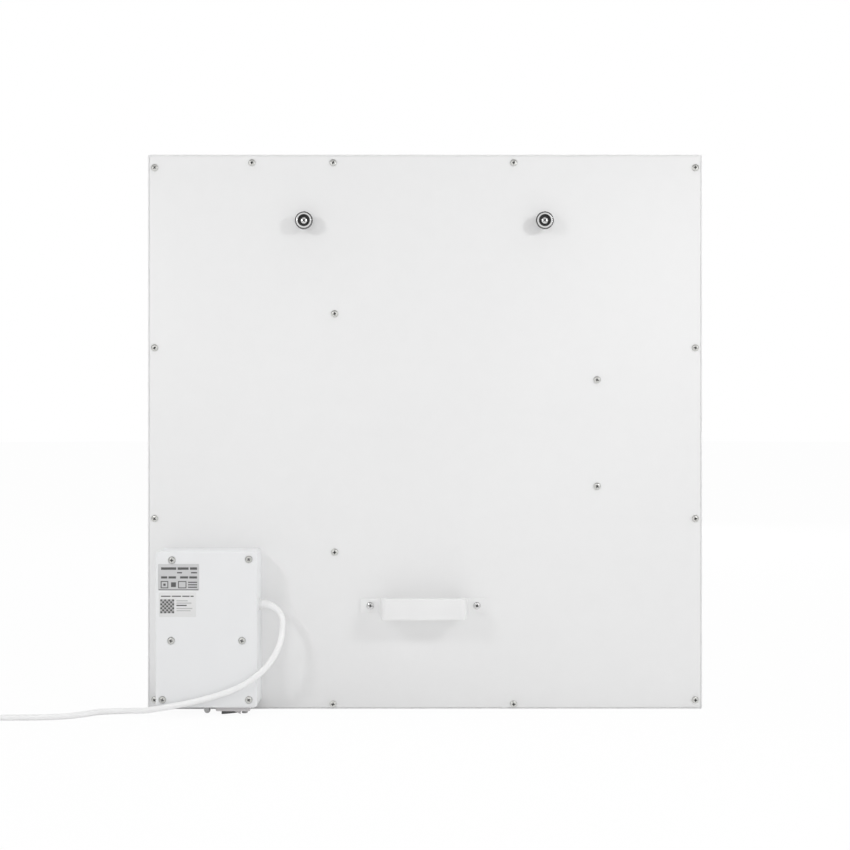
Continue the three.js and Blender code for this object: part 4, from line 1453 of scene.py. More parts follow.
        outer, inner = band(self.radius + 0.75, 0.0), band(self.radius + 0.02, 0.4)
        near, far = self.coil_behind - self.band, self.coil_behind + self.band
        loops = ((outer, near), (outer, far), (inner, far), (inner, near))
        form = Form()
        form.skin(([Axis.BEHIND.place(x, z, deep) for x, z in loop] for loop, deep in loops), closed=True)
        form.block(
            (self.coil_x - 36.5, near - 0.8, upper + 3.6),
            (self.coil_x - 29.5, far + 0.8, upper + 5.4),
        )
        return self.hand_over(form.piece("coil_tie", CLAMP_NYLON), CLAMP_NYLON)

    def plug_outline(self, inset: float) -> list[Flat]:
        """The plug's flat-sided round outline, drawn in by an inset.

        Args:
            inset: How far it is drawn in.

        Returns:
            The outline as X and distance behind.
        """
        flat = self.plug_flat - inset
        return [
            (self.plug_x + x, self.end_behind + max(-flat, min(flat, behind)))
            for x, behind in disc((0.0, 0.0), self.plug_radius - inset, 96)
        ]

    def plug(self) -> bpy.types.Object:
        """Makes the plug's shell with its waist, its ribbed nose and its grip ribs.

        Returns:
            The shell.
        """
        top = self.plug_thick
        levels = [
            (3.0, 0.0), (1.4, 0.3), (0.5, 1.1), (0.0, 2.6), (0.0, 15.6), (0.5, 15.8), (0.5, 16.6),
            (0.0, 16.8), (0.0, top - 0.9), (0.3, top - 0.3), (1.0, top), (2.6, top), (2.9, top - 0.35),
        ]
        form = Form()
        form.skin([(x, behind, z) for x, behind in self.plug_outline(inset)] for inset, z in levels)
        entry = self.coil_x - self.tail - 0.3
        nose = [(0.0, 0.0), (3.9, 0.0), (4.2, -0.3)]
        for i in range(self.nose_ribs):
            start = -3.0 - 3.4 * i
            size = 4.2 + 0.085 * -start
            nose += [(size, start + 0.6), (size - 0.5, start + 0.4), (size - 0.5, start - 0.6),
                     (size + 0.1, start - 0.8)]
        nose += [(6.4, -24.0), (6.4, -27.0), (0.0, -27.0)]
        form.turn(nose, Axis.ACROSS, (entry, self.end_behind, self.nose_z), 40)
        for side in (-1, 1):
            deep = self.end_behind + side * self.plug_flat
            low, high = sorted((deep, deep - side * 0.8))
            for i in range(self.grips):
                x = self.plug_x - 6.0 + 2.0 * i
                form.block((x - 0.45, low, 3.6), (x + 0.45, high, 14.6))
        return self.hand_over(form.piece("plug_shell", PLUG_SHELL), PLUG_SHELL, "plug_body")

    def clips(self) -> bpy.types.Object:
        """Makes the two earth clips at the plug's sides, the far one longer.

        Returns:
            The clips.
        """
        top = self.plug_thick
        near, far = self.end_behind - self.clip_half, self.end_behind + self.clip_half
        form = Form()
        for side, raised in ((-1, 0.0), (1, 7.5)):
            x = self.plug_x + side * (self.plug_radius - 1.1)
            form.block((x - 0.5, near, 9.0 + raised), (x + 0.5, far, top + 0.25))
            low, high = sorted((x - side * 2.4, x))
            form.block((low, near, top - 0.2), (high, far, top + 0.3))
        form.round_edges(0.15, 2)
        return self.hand_over(form.piece("earth_clips", PIN_NICKEL), PIN_NICKEL)

    def pin(self, name: str, side: int) -> bpy.types.Object:
        """Makes a pin with its collar.

        Args:
            name: Which of the two it is.
            side: -1 for the one that lies further behind, else 1.

        Returns:
            The pin.
        """
        radius, length, tip = self.pin_radius, self.pin_length, 1.4
        end = arc((radius - tip, length - tip), tip, 0.0, 90.0)
        shaft = [(0.0, -0.3), (radius, -0.3), (radius, length - tip), *end, (0.0, length)]
        low, high = radius + 0.02, radius + 0.9
        collar = [(low, 0.4), (high, 0.4), (high, -0.2), (low, -0.2)]
        form = Form().turn(shaft, Axis.UP, count=40).turn(collar, Axis.UP, closed=True, mark=1)
        place = (self.plug_x, self.end_behind - side * self.pin_apart / 2, self.plug_thick)
        made = form.piece(f"pin_{name}", PIN_NICKEL, PLUG_SHELL, place=place)
        return self.hand_over(made, PIN_NICKEL, f"plug_pin_{name}")

    def build(self) -> None:
        lead = self.lay()
        on_it = [self.sleeve(), self.tie(), self.plug(), self.clips()]
        on_it += [self.pin(name, side) for name, side in (("near", -1), ("far", 1))]


# ---------------------------------------------------------------- screws


@dataclass(frozen=True)
class ScrewKind(SubAssembly):
    """One kind of pan head screw with a tapered cross recess."""

    name: str
    head: float
    rise: float
    shank: float
    finish: Finish
    # The cross recess's finish is painted shade, darker than the head.
    recess: Finish
    pitch: float = 1.0
    arm: float = 0.5
    deep: float = 1.7

    def profile(self, length: float) -> list[Flat]:
        """The radius and height of the screw's outline, from its crown down the thread.

        Args:
            length: How far its shank reaches below the seat.

        Returns:
            The outline.
        """
        crown = [
            (self.head * math.sin(a), self.rise * (0.3 + 0.7 * math.cos(a)))
            for a in (math.radians(10 * step) for step in range(1, 10))
        ]
        rim = [(self.head * 0.995, 0.12), (self.head - 0.12, 0.0)]
        thread = []
        depth = 0.0
        while depth < length - 2.2:
            thread += [(self.shank, -depth), (self.shank * 0.82, -depth - self.pitch / 2)]
            depth += self.pitch
        point = [(self.shank * 0.8, -length + 1.2), (self.shank * 0.4, -length), (0.0, -length)]
        return [(0.0, self.rise), *crown, *rim, *thread, *point]

    def slit(self, spin: float) -> Form:
        """One of the two slits of the cross, narrower towards its floor, turned by an angle.

        Args:
            spin: The angle.

        Returns:
            The solid to cut away.
        """
        cos, sin, long = math.cos(spin), math.sin(spin), self.head * 0.5
        levels = []
        for half_long, half_wide, height in (
            (long * 1.12, self.arm * 1.1, self.rise + 0.4),
            (long, self.arm, self.rise - 0.15),
            (long * 0.42, self.arm * 0.62, self.rise - self.deep),
        ):
            ends = ((half_long, half_wide), (-half_long, half_wide),
                    (-half_long, -half_wide), (half_long, -half_wide))
            levels.append([(a * cos - b * sin, height, a * sin + b * cos) for a, b in ends])
        # Mark 1 gives the recess's cut faces the painted shade.
        return Form().skin(levels, mark=1)

    def mesh(self, length: float) -> bpy.types.Mesh:
        """The mesh of a screw of one length, seated at its origin.

        Args:
            length: How far its shank reaches below the seat.

        Returns:
            The mesh.
        """
        form = Form().turn(self.profile(length), Axis.BEHIND, count=40)
        screw = form.piece(f"screw_{self.name}_{length:.0f}", self.finish, self.recess)
        carve(screw, Join.CUT, self.slit(0.0), self.slit(math.pi / 2))
        data = screw.data
        bpy.data.objects.remove(screw)
        return data

    def drive(self, node: str, data: bpy.types.Mesh, x: float, seat: float, z: float) -> None:
        """Puts one screw in its place, its cross left at an angle of its own.

        Args:
            node: The CAD node that it replaces.
            data: The screw's mesh.
            x: Its X.
            seat: How far behind the back sheet its head sits.
            z: Its Z.
        """
        screw = link(f"{node}_turned", data)
        screw.location = Vector((x, BACK_Y - seat, z)) / 1000
        spin = (x * 7.3 + z * 3.1) % 90
        screw.rotation_euler = (0.0, math.radians(spin), 0.0)
        self.hand_over(screw, self.finish, node)


SHEET_SCREW = ScrewKind("sheet", 3.8, 2.2, 1.9, SCREW_ZINC, RECESS_PAINTED_SHADE)
MACHINE_SCREW = ScrewKind("machine", 3.9, 2.4, 2.4, SCREW_ZINC, RECESS_PAINTED_SHADE)
TAB_SCREW = ScrewKind("tab", 3.9, 2.4, 2.2, SCREW_BRIGHT, RECESS_PAINTED_SHADE)
STUD_SCREW = ScrewKind("stud", 4.2, 3.0, 2.8, SCREW_BRIGHT, RECESS_PAINTED_SHADE)
LID_SCREW = ScrewKind("lid", 3.8, 2.2, 1.7, SCREW_DULL, RECESS_PAINTED_PALE_SHADE)


# ---------------------------------------------------------------- panel


@dataclass(frozen=True)
class PanelShell(SubAssembly):
    """The folded front tray, the back sheet and their rim and blanking screws."""

    half: float = PANEL_SIDE / 2
    height: float = PANEL_SIDE
    depth: float = 25.0
    wall: float = 1.2
    fold: float = 1.6
    flange: float = 17.0
    cover: float = 1.0
    gap: float = 0.6
    earth: Point = (-205.0, 0.0, 32.0)
    rim_low: float = 5.4
    rim_high: float = 591.0
    rim_side: float = 292.5
    rim_screw: float = 7.5
    blank_screw: float = 6.6

    def outline(self, inset: float, within: float, corner: float = 1.6) -> list[Point]:
        """The panel's outline, drawn in by an inset, at a distance within the back sheet.

        Args:
            inset: How far it is drawn in.
            within: How far towards the warm face it lies.
            corner: Its corner radius before it is drawn in.

        Returns:
            The outline.
        """
        flat = rounded(
            (-self.half + inset, inset),
            (self.half - inset, self.height - inset),
            max(corner - inset, 0.25),
            5,
        )
        return [(x, -within, z) for x, z in flat]

    def tray(self) -> None:
        """Makes the tray from its warm face round the fold to the flange and back inside."""
        fold = arc((self.fold, self.depth - self.fold), self.fold, 90.0, 180.0, 6)
        edge = arc((0.35, 0.35), 0.35, 180.0, 270.0, 3)
        inside = [(self.wall - 0.2, 0.0), (self.wall, 0.2), (self.wall, self.cover)]
        reach = self.wall + self.flange
        under = self.cover + self.wall
        flange = [(reach, self.cover), (reach, under), (self.wall, under)]
        profile = [*fold, *edge, *inside, *flange, (self.wall, self.depth - self.wall)]
        form = Form().skin(self.outline(inset, within) for inset, within in profile)
        self.hand_over(form.piece("folded_tray", STEEL_TRAY), STEEL_TRAY, "front_tray")

    def back_sheet(self) -> None:
        """Makes the back sheet with its sheared edge and its earth stud."""
        inset = self.wall + self.gap
        edge = [(inset, self.cover), (inset, 0.25), (inset + 0.08, 0.08), (inset + 0.28, 0.0)]
        form = Form().skin(self.outline(step, within, inset + 0.9) for step, within in edge)
        stud = [(0.0, -0.5), (3.0, -0.5), (3.0, -3.7), (2.7, -4.0), (0.0, -4.0)]
        form.turn(stud, Axis.BEHIND, self.earth, 24)
        self.hand_over(form.piece("back_sheet", STEEL_BACK), STEEL_BACK, "back_cover")

    def screws(self) -> None:
        """Puts in the rim screws and the blanking screws."""
        rim = SHEET_SCREW.mesh(self.rim_screw)
        high, low, side = self.rim_high, self.rim_low, self.rim_side
        places = {"top_1": (-99.5, high), "top_2": (96.0, high), "top_extra": (-187.3, high),
                  "bottom_1": (-99.5, low), "bottom_2": (96.0, low)}
        for name, x in (("left", -side), ("right", side)):
            places |= {f"{name}_bottom_corner": (x, 9.9), f"{name}_1": (x, 206.0),
                       f"{name}_2": (x, 390.8), f"{name}_top_corner": (x, 585.7)}
        for name, (x, z) in places.items():
            SHEET_SCREW.drive(f"rim_screw_{name}", rim, x, 0.0, z)
        blank = MACHINE_SCREW.mesh(self.blank_screw)
        spare = {"stud_lower": (-97.7, 169.6), "stud_upper": (-97.7, 427.6),
                 "handle_lower": (186.2, 241.0), "handle_upper": (186.2, 356.2)}
        for name, (x, z) in spare.items():
            MACHINE_SCREW.drive(f"blanking_screw_{name}", blank, x, 0.0, z)

    def build(self) -> None:
        """Makes the panel's outside."""
        self.tray()
        self.back_sheet()
        self.screws()


@dataclass(frozen=True)
class HeatStack(SubAssembly):
    """The warm layers inside the tray, with their rails."""

    side: float = 293.8
    low: float = 6.2
    back: float = 9.2
    front: float = 23.2
    window: tuple[Flat, Flat] = ((-181.0, 43.0), (-119.0, 77.0))
    cells: int = 36
    swell: float = 0.45
    tuft: float = 30.0

    def lines(self, low: float, high: float, marks: Flat) -> list[float]:
        """Even grid lines between two ends, with two more at the window's edges.

        Args:
            low: The first end.
            high: The other end.
            marks: The window's edges.

        Returns:
            The lines in order.
        """
        step = (high - low) / self.cells
        even = [low + step * i for i in range(self.cells + 1)]
        kept = [line for line in even if all(abs(line - mark) > step * 0.3 for mark in marks)]
        return sorted([*kept, *marks])

    def mat(self) -> None:
        """Makes the soft mat: two quilted faces, its edges and its window."""
        (x0, z0), (x1, z1) = self.window
        xs = self.lines(-self.side, self.side, (x0, x1))
        zs = self.lines(self.low, PANEL_SIDE - self.low, (z0, z1))
        form = Form()
        verts: dict[tuple[int, int, int], bmesh.types.BMVert] = {}

        def corner(i: int, j: int, face: int) -> bmesh.types.BMVert:
            """The vertex of a grid place on the back or front face.

            Args:
                i: The place's column.
                j: Its row.
                face: 0 for the back face, 1 for the front.

            Returns:
                The vertex.
            """
            if (i, j, face) not in verts:
                spot = Vector((xs[i] / self.tuft, zs[j] / self.tuft, face * 9.0))
                swell = self.swell * (0.5 + 0.5 * noise.noise(spot))
                within = self.back + swell if face == 0 else self.front - swell
                verts[i, j, face] = form.mesh.verts.new(Vector((xs[i], within, zs[j])) / 1000)
            return verts[i, j, face]

        def solid(i: int, j: int) -> bool:
            """True where a grid cell holds mat.

            Args:
                i: The cell's column.
                j: Its row.

            Returns:
                False in the window and off the grid.
            """
            if not (0 <= i < len(xs) - 1 and 0 <= j < len(zs) - 1):
                return False
            return not (x0 <= (xs[i] + xs[i + 1]) / 2 <= x1 and z0 <= (zs[j] + zs[j + 1]) / 2 <= z1)

        for i in range(len(xs) - 1):
            for j in range(len(zs) - 1):
                if not solid(i, j):
                    continue
                square = ((i, j), (i + 1, j), (i + 1, j + 1), (i, j + 1))
                for face in (0, 1):
                    form.mesh.faces.new([corner(a, b, face) for a, b in square])
                for (a, b), (c, d), (di, dj) in (
                    (square[0], square[1], (0, -1)), (square[1], square[2], (1, 0)),
                    (square[2], square[3], (0, 1)), (square[3], square[0], (-1, 0)),
                ):
                    if not solid(i + di, j + dj):
                        form.mesh.faces.new(
                            [corner(a, b, 0), corner(c, d, 0), corner(c, d, 1), corner(a, b, 1)]
                        )
        made = form.piece("mineral_mat", MAT_WOOL, crease=60.0)
        self.hand_over(made, MAT_WOOL, "insulation_mat")

    def build(self) -> None:
        """Makes the mat and dresses the film, the foil, the rails and the leads."""
        self.mat()
        finishes = {
            "heating_film": FILM_DARK, "reflector_foil": FOIL_BRIGHT, "hanger_rail_top": RAIL_ZINC,
            "hanger_rail_side": RAIL_ZINC, "handle_rail_bottom": RAIL_ZINC,
            "handle_rail_side": RAIL_ZINC, "thermal_cutout": RAIL_ZINC, "live_lead": WIRE_BROWN,
            "neutral_lead": WIRE_BLUE, "earth_lead": WIRE_EARTH,
        }
        for node, finish in finishes.items():
            self.dress(node, finish)


# ---------------------------------------------------------------- wall fixing


@dataclass(frozen=True)
class HangingStuds(SubAssembly):
    """Two turned studs with a sunk centre screw in each."""

    places: tuple[tuple[str, float], ...] = (("left", -129.7), ("right", 128.3))
    z: float = 526.4
    length: float = 18.0
    head: float = 9.5
    head_length: float = 5.5
    chamfer: float = 1.3
    neck: float = 5.5
    foot: float = 7.0
    foot_length: float = 1.5
    sink: float = 6.5
    sink_depth: float = 3.6
    bore: float = 3.2
    screw_length: float = 20.5

    def form(self) -> Form:
        """A stud with its foot at its origin, painted shade in its sink and a painted dark reflection on
        its chamfer.

        Returns:
            The stud, with marks for its body, the painted shade in its sink and the painted reflection on
            its chamfer.
        """
        top, floor, under = self.length, self.length - self.sink_depth, self.length - self.head_length
        flat = self.head - self.chamfer
        outside = [
            (self.sink + 0.15, top), (flat - 0.12, top), (flat, top - 0.05),
            (self.head - 0.1, top - self.chamfer * 0.78), (self.head, top - self.chamfer),
            (self.head, under + 0.4), (self.head - 0.4, under), (self.neck + 0.5, under),
            (self.neck, under - 0.5), (self.neck, self.foot_length + 0.5),
            (self.neck + 0.5, self.foot_length), (self.foot - 0.2, self.foot_length),
            (self.foot, self.foot_length - 0.2), (self.foot, 0.0), (self.bore, 0.0),
        ]
        inside = [(self.bore, floor), (self.sink, floor), (self.sink, top - 0.2)]
        form = Form().turn([*outside, *inside], Axis.BEHIND, count=72, closed=True)
        # Painted shade: faces inside the sink get a dark colour for the shade in it; painted reflection:
        # the chamfer gets a dark colour for the dark surroundings it reflects.
        for face in form.mesh.faces:
            x, y, z = face.calc_center_median() * 1000
            out = math.hypot(x, z)
            if out < self.sink:
                face.material_index = 1
            elif out > flat and -y > top - self.chamfer:
                face.material_index = 2
        return form

    def build(self) -> None:
        """Makes both studs and their screws."""
        screw = STUD_SCREW.mesh(self.screw_length)
        finishes = (STUD_CHROME, STUD_SINK_PAINTED_SHADE, STUD_RIM_PAINTED_REFLECTION)
        for side, x in self.places:
            stud = self.form().piece(f"stud_{side}", *finishes, place=(x, 0.0, self.z))
            self.hand_over(stud, STUD_CHROME, f"hanging_stud_{side}")
            seat = self.length - self.sink_depth
            STUD_SCREW.drive(f"hanging_stud_screw_{side}", screw, x, seat, self.z)


@dataclass(frozen=True)
class BowHandle(SubAssembly):
    """The bow handle with a screw in each tab."""

    middle: float = -1.5
    z: float = 112.2
    reach: float = 38.0
    tab_length: float = 20.5
    tab_height: float = 15.6
    tab_thick: float = 3.2
    grip_length: float = 89.0
    grip_height: float = 22.6
    grip_thick: float = 6.5
    leg_thick: float = 5.0
    lean: float = 3.0
    bend: float = 6.5
    inner_bend: float = 4.5
    widening: float = 26.0
    crown: float = 2.4
    apart: float = 115.2
    hole: float = 2.6
    soft: float = 0.8
    screw_length: float = 9.8

    def strip(self) -> list[Flat]:
        """The handle's outline seen from above: X and distance behind.

        Returns:
            The outline.
        """
        half, leg = self.grip_length / 2, self.leg_thick
        out = half + self.lean
        end = out + self.tab_length
        inner = self.reach - self.grip_thick
        low = [(end, 0.0), (out - leg, 0.0), (half - leg, inner - self.inner_bend)]
        turn = (half - leg - self.inner_bend, inner - self.inner_bend)
        low += arc(turn, self.inner_bend, 0, 90, 8)[1:]
        side = low + [(-x, behind) for x, behind in low[::-1]]
        high = [(end, self.tab_thick), (out, self.tab_thick), (half, self.reach - self.bend)]
        high += arc((half - self.bend, self.reach - self.bend), self.bend, 0, 90, 10)[1:]
        outside = high + [(-x, behind) for x, behind in high[::-1]]
        return side + outside[::-1]

    def waist(self) -> list[Flat]:
        """The handle's outline seen from its end: distance behind and Z.

        Returns:
            The outline.
        """
        tab, grip = self.tab_height / 2, self.grip_height / 2
        wide, start = self.tab_thick + self.widening, self.tab_thick
        curve = []
        for i in range(9):
            share = i / 8
            ease = share * share * (3 - 2 * share)
            curve.append((start + (wide - start) * share, tab + (grip - tab) * ease))
        crown = arc((self.reach - self.crown, grip - self.crown), self.crown, 90, 0, 6)
        right = [(-1.0, tab), *curve, *crown, (self.reach + 0.01, grip - self.crown)]
        return right + [(behind, -z) for behind, z in right[::-1]]

    def build(self) -> None:
        """Makes the handle and its screws."""
        half, far = self.grip_height / 2, self.grip_length
        form = Form().prism(self.strip(), -half, half, Axis.UP)
        handle = form.piece("carrying_handle", HANDLE_PLASTIC, place=(self.middle, 0.0, self.z))
        carve(handle, Join.COMMON, Form().prism(self.waist(), -far, far, Axis.ACROSS))
        soften(handle, self.soft, 3, 32.0)
        holes = [
            Form().prism(disc((side * self.apart / 2, 0.0), self.hole, 32), -1.0, 6.0, Axis.BEHIND)
            for side in (-1, 1)
        ]
        carve(handle, Join.CUT, *holes)
        self.hand_over(handle, HANDLE_PLASTIC, "bow_handle")
        screw = TAB_SCREW.mesh(self.screw_length)
        for name, side in (("left", -1), ("right", 1)):
            x = self.middle + side * self.apart / 2
            TAB_SCREW.drive(f"handle_screw_{name}", screw, x, self.tab_thick, self.z)


# ---------------------------------------------------------------- controller box


Bar = tuple[Flat, Flat, Ink]


def bars(z: float, tall: float, *spans: Flat) -> list[Bar]:
    """Dark bars of one height, side by side."""
    return [((start, z), (end, z + tall), Ink.DARK) for start, end in spans]


def hollow(low: Flat, high: Flat, line: float = 0.9) -> list[Bar]:
    """Four bars round an empty frame.

    Args:
        low: The frame's lower corner.
        high: Its upper corner.
        line: The bars' width.

    Returns:
        The bars.
    """
    sides = (low[0], low[0] + line), (high[0] - line, high[0])
    return [
        *bars(low[1], line, (low[0], high[0])),
        *bars(high[1] - line, line, (low[0], high[0])),
        *bars(low[1] + line, high[1] - low[1] - 2 * line, *sides),
    ]


@dataclass(frozen=True)
class ControllerBox(SubAssembly):
    """The deep box with its lid, screws, labels and the pieces inside."""

    low: Flat = (-284.0, 9.3)
    high: Flat = (-177.0, 174.0)
    corner: float = 4.0
    wall: float = 2.2
    floor: float = 2.5
    wall_top: float = 36.5
    lid_back: float = 36.8
    depth: float = 40.0
    sink: float = 1.0
    lead_behind: float = 20.0
    lead_z: float = 116.7
    lead_hole: float = 5.3
    lamp_hole: float = 2.8
    wire_hole: float = 6.3
    boss: float = 4.0
    boss_bore: float = 2.1
    boss_top: float = 36.5
    post: float = 2.5
    post_top: float = 9.7
    soft: float = 1.5
    lamp: Point = (-231.2, 28.0, 7.0)
    wires: Flat = (-232.0, 55.3)
    switch: tuple[Point, Point] = ((-218.6, 17.3, 8.0), (-186.5, 34.7, 12.6))
    terminals: tuple[Point, Point] = ((-214.6, 1.2, 103.7), (-196.6, 8.0, 129.7))
    clamps: Flat = (106.2, 127.2)
    posts: tuple[Flat, ...] = ((-270.0, 94.3), (-270.0, 152.3), (-226.7, 94.3), (-226.7, 152.3))
    rating_plate: tuple[Flat, Flat] = ((-281.2, 133.0), (-238.0, 160.9))
    plain_label: tuple[Flat, Flat] = ((-280.2, 105.1), (-241.2, 130.9))
    square: float = 2.1
    screws: tuple[tuple[str, float, float, float], ...] = (
        ("top_left", -266.7, 164.8, 16.0), ("top_right", -185.6, 165.7, 16.0),
        ("mid_left", -267.5, 80.0, 46.0), ("mid_right", -192.8, 80.0, 46.0),
        ("bottom_left", -276.7, 17.7, 16.0), ("bottom_right", -185.6, 17.7, 16.0),
    )

    def outline(self, inset: float, behind: float) -> list[Point]:
        """The box's outline, drawn in by an inset, at a distance behind the back sheet.

        Args:
            inset: How far it is drawn in.
            behind: How far behind the back sheet it lies.

        Returns:
            The outline.
        """
        flat = rounded(
            (self.low[0] + inset, self.low[1] + inset),
            (self.high[0] - inset, self.high[1] - inset),
            max(self.corner - inset, 0.6),
        )
        return [(x, behind, z) for x, z in flat]

    def base(self) -> None:
        """Makes the box with its openings, bosses, board posts, terminal pad and clamp posts."""
        top = self.wall_top
        profile = [
            (0.4, 0.0), (0.1, 0.1), (0.0, 0.4), (0.0, top - 0.3), (0.3, top), (self.wall, top),
            (self.wall, self.floor + 0.8), (self.wall + 0.8, self.floor),
        ]
        form = Form().skin(self.outline(inset, behind) for inset, behind in profile)
        base = form.piece("box_shell", BOX_PLASTIC)
        lead = (self.high[0] - 3.0, self.lead_behind, self.lead_z)
        carve(
            base,
            Join.CUT,
            Form().rod(self.lead_hole, -1.0, 4.0, Axis.ACROSS, lead),
            Form().block(*self.switch),
            Form().rod(self.lamp_hole, 0.0, 6.0, Axis.UP, self.lamp, 32),
            Form().prism(disc(self.wires, self.wire_hole), -1.0, 4.0, Axis.BEHIND),
        )
        whole = reopened(base)
        rooted, bore, boss_top = 1.2, self.boss_bore, self.boss_top
        boss = [(bore, rooted), (self.boss, rooted), (self.boss, boss_top - 0.2),
                (self.boss - 0.2, boss_top), (bore, boss_top)]
        for _, x, z, _ in self.screws:
            whole.turn(boss, Axis.BEHIND, (x, 0.0, z), 32, closed=True)
        for x, z in self.posts:
            whole.rod(self.post, rooted, self.post_top, Axis.BEHIND, (x, 0.0, z), 24)
        whole.block(*self.terminals)
        for z in self.clamps:
            whole.block((-194.3, rooted, z - 2.5), (-186.3, 23.1, z + 2.5))
        self.hand_over(whole.piece("box_shell", BOX_PLASTIC), BOX_PLASTIC, "box_base")

    def lid(self) -> None:
        """Makes the lid with its soft edge, its locating rib and its sunk screw places."""
        rim = arc((self.soft, self.depth - self.soft), self.soft, 180.0, 90.0, 6)
        profile = [(0.3, self.lid_back), (0.0, self.lid_back + 0.3), *rim]
        form = Form().skin(self.outline(inset, behind) for inset, behind in profile)
        lid = form.piece("flat_lid", LID_PLASTIC)
        sink = [(0.0, 0.0), (4.1, 0.0), (4.1, 1.0), (4.35, 1.3), (0.0, 1.3)]
        seat = self.depth - self.sink
        sinks = [Form().turn(sink, Axis.BEHIND, (x, seat, z), 40) for _, x, z, _ in self.screws]
        carve(lid, Join.CUT, *sinks)
        rib = ((2.5, 33.8), (2.5, 36.9), (4.1, 36.9), (4.1, 33.8))
        whole = reopened(lid)
        whole.skin((self.outline(inset, behind) for inset, behind in rib), closed=True)
        self.hand_over(whole.piece("flat_lid", LID_PLASTIC), LID_PLASTIC, "box_lid")

    def fasten(self) -> None:
        """Puts the six screws in the lid."""
        lengths = dict.fromkeys(length for *_, length in self.screws)
        meshes = {length: LID_SCREW.mesh(length) for length in lengths}
        for name, x, z, length in self.screws:
            LID_SCREW.drive(f"lid_screw_{name}", meshes[length], x, self.depth - self.sink, z)

    def label(self, name: str, field: tuple[Flat, Flat], film: Finish, printed: Iterable[Bar]) -> None:
        """Sticks a label that carries plain bars on the lid.

        Args:
            name: The label's name.
            field: Its lower and upper corners in X and Z.
            film: Its finish.
            printed: The bars printed on it.
        """
        (x0, z0), (x1, z1) = field
        outer = rounded((x0, z0), (x1, z1), 1.0, 5)
        inner = rounded((x0 + 0.06, z0 + 0.06), (x1 - 0.06, z1 - 0.06), 0.94, 5)
        layers = ((outer, -0.02), (outer, 0.1), (inner, 0.14))
        form = Form()
        form.skin([(x, self.depth + rise, z) for x, z in outline] for outline, rise in layers)
        for (left, low), (right, high), ink in printed:
            form.block((left, self.depth + 0.13, low), (right, self.depth + 0.16, high), ink.value)
        self.hand_over(form.piece(name, film, PRINT_GREY, PRINT_PALE), film)

    def plate_bars(self) -> list[Bar]:
        """The rating plate's bars: four rows and two empty frames.

        Returns:
            The bars.
        """
        return [
            *bars(154.8, 2.6, (-278.0, -262.0), (-260.6, -249.0), (-247.6, -240.1)),
            *bars(151.0, 1.4, (-261.2, -255.9), (-246.5, -240.1)),
            *bars(145.6, 2.3, (-278.0, -271.5), (-270.2, -262.3)),
            *bars(145.6, 2.3, (-258.0, -249.5), (-248.3, -240.1)),
            *hollow((-278.4, 135.3), (-270.4, 142.9)),
            *bars(137.9, 2.4, (-275.6, -273.2)),
            *bars(136.6, 5.0, (-267.5, -262.3)),
            *hollow((-260.1, 135.3), (-251.3, 142.9)),
            *(bar for z in (135.8, 138.4, 141.0) for bar in bars(z, 1.2, (-249.6, -240.1))),
            *bars(133.4, 0.7, (-280.4, -238.8)),
        ]

    def label_bars(self) -> list[Bar]:
        """The plain label's bars: a row, a chequer and a few lines beside it.

        Returns:
            The bars.
        """
        row = bars(126.3, 1.2, (-278.0, -268.0), (-266.8, -257.0), (-255.7, -248.0), (-247.0, -243.7))
        chequer = [
            ((x, z), (x + self.square - 0.02, z + self.square - 0.02), tuple(Ink)[(i + j) % 2])
            for i, x in enumerate(-278.9 + self.square * step for step in range(7))
            for j, z in enumerate(109.0 + self.square * step for step in range(7))
        ]
        lines = (
            (121.6, 1.0, -250.0, Ink.PALE), (119.2, 1.0, -246.0, Ink.PALE),
            (116.6, 1.3, -251.0, Ink.DARK), (113.6, 0.9, -245.0, Ink.PALE),
            (111.2, 0.9, -247.0, Ink.PALE),
        )
        beside = [((-261.8, z), (end, z + tall), ink) for z, tall, end, ink in lines]
        return [*row, *chequer, *beside]

    def labels(self) -> None:
        """Makes the two labels."""
        self.label("rating_plate", self.rating_plate, LABEL_SILVER, self.plate_bars())
        self.label("plain_label", self.plain_label, LABEL_WHITE, self.label_bars())

    def gland(self) -> None:
        """Makes the gland's flange, barrel and inner flange about the lead."""
        profile = [
            (3.5, -4.5), (6.3, -4.5), (6.5, -4.3), (6.5, -2.7), (6.3, -2.5), (5.0, -2.5), (5.0, 0.0),
            (6.5, 0.0), (6.5, 1.3), (6.2, 1.65), (5.7, 1.8), (5.2, 1.8), (5.0, 2.2), (4.9, 3.0),
            (3.5, 3.0),
        ]
        place = (self.high[0], self.lead_behind, self.lead_z)
        form = Form().turn(profile, Axis.ACROSS, place, closed=True)
        self.hand_over(form.piece("gland_ring", GLAND_RUBBER), GLAND_RUBBER, "cord_gland")

    def build(self) -> None:
        """Makes the box and dresses the pieces inside."""
        self.base()
        self.lid()
        self.fasten()
        self.labels()
        self.gland()
        finishes = {
            "control_board": BOARD_LACQUER, "relay": RELAY_CASE, "terminal_block": TERMINAL_NYLON,
            "cord_clamp": CLAMP_NYLON, "lead_grommet": CLAMP_NYLON,
        }
        for node, finish in finishes.items():
            self.dress(node, finish)


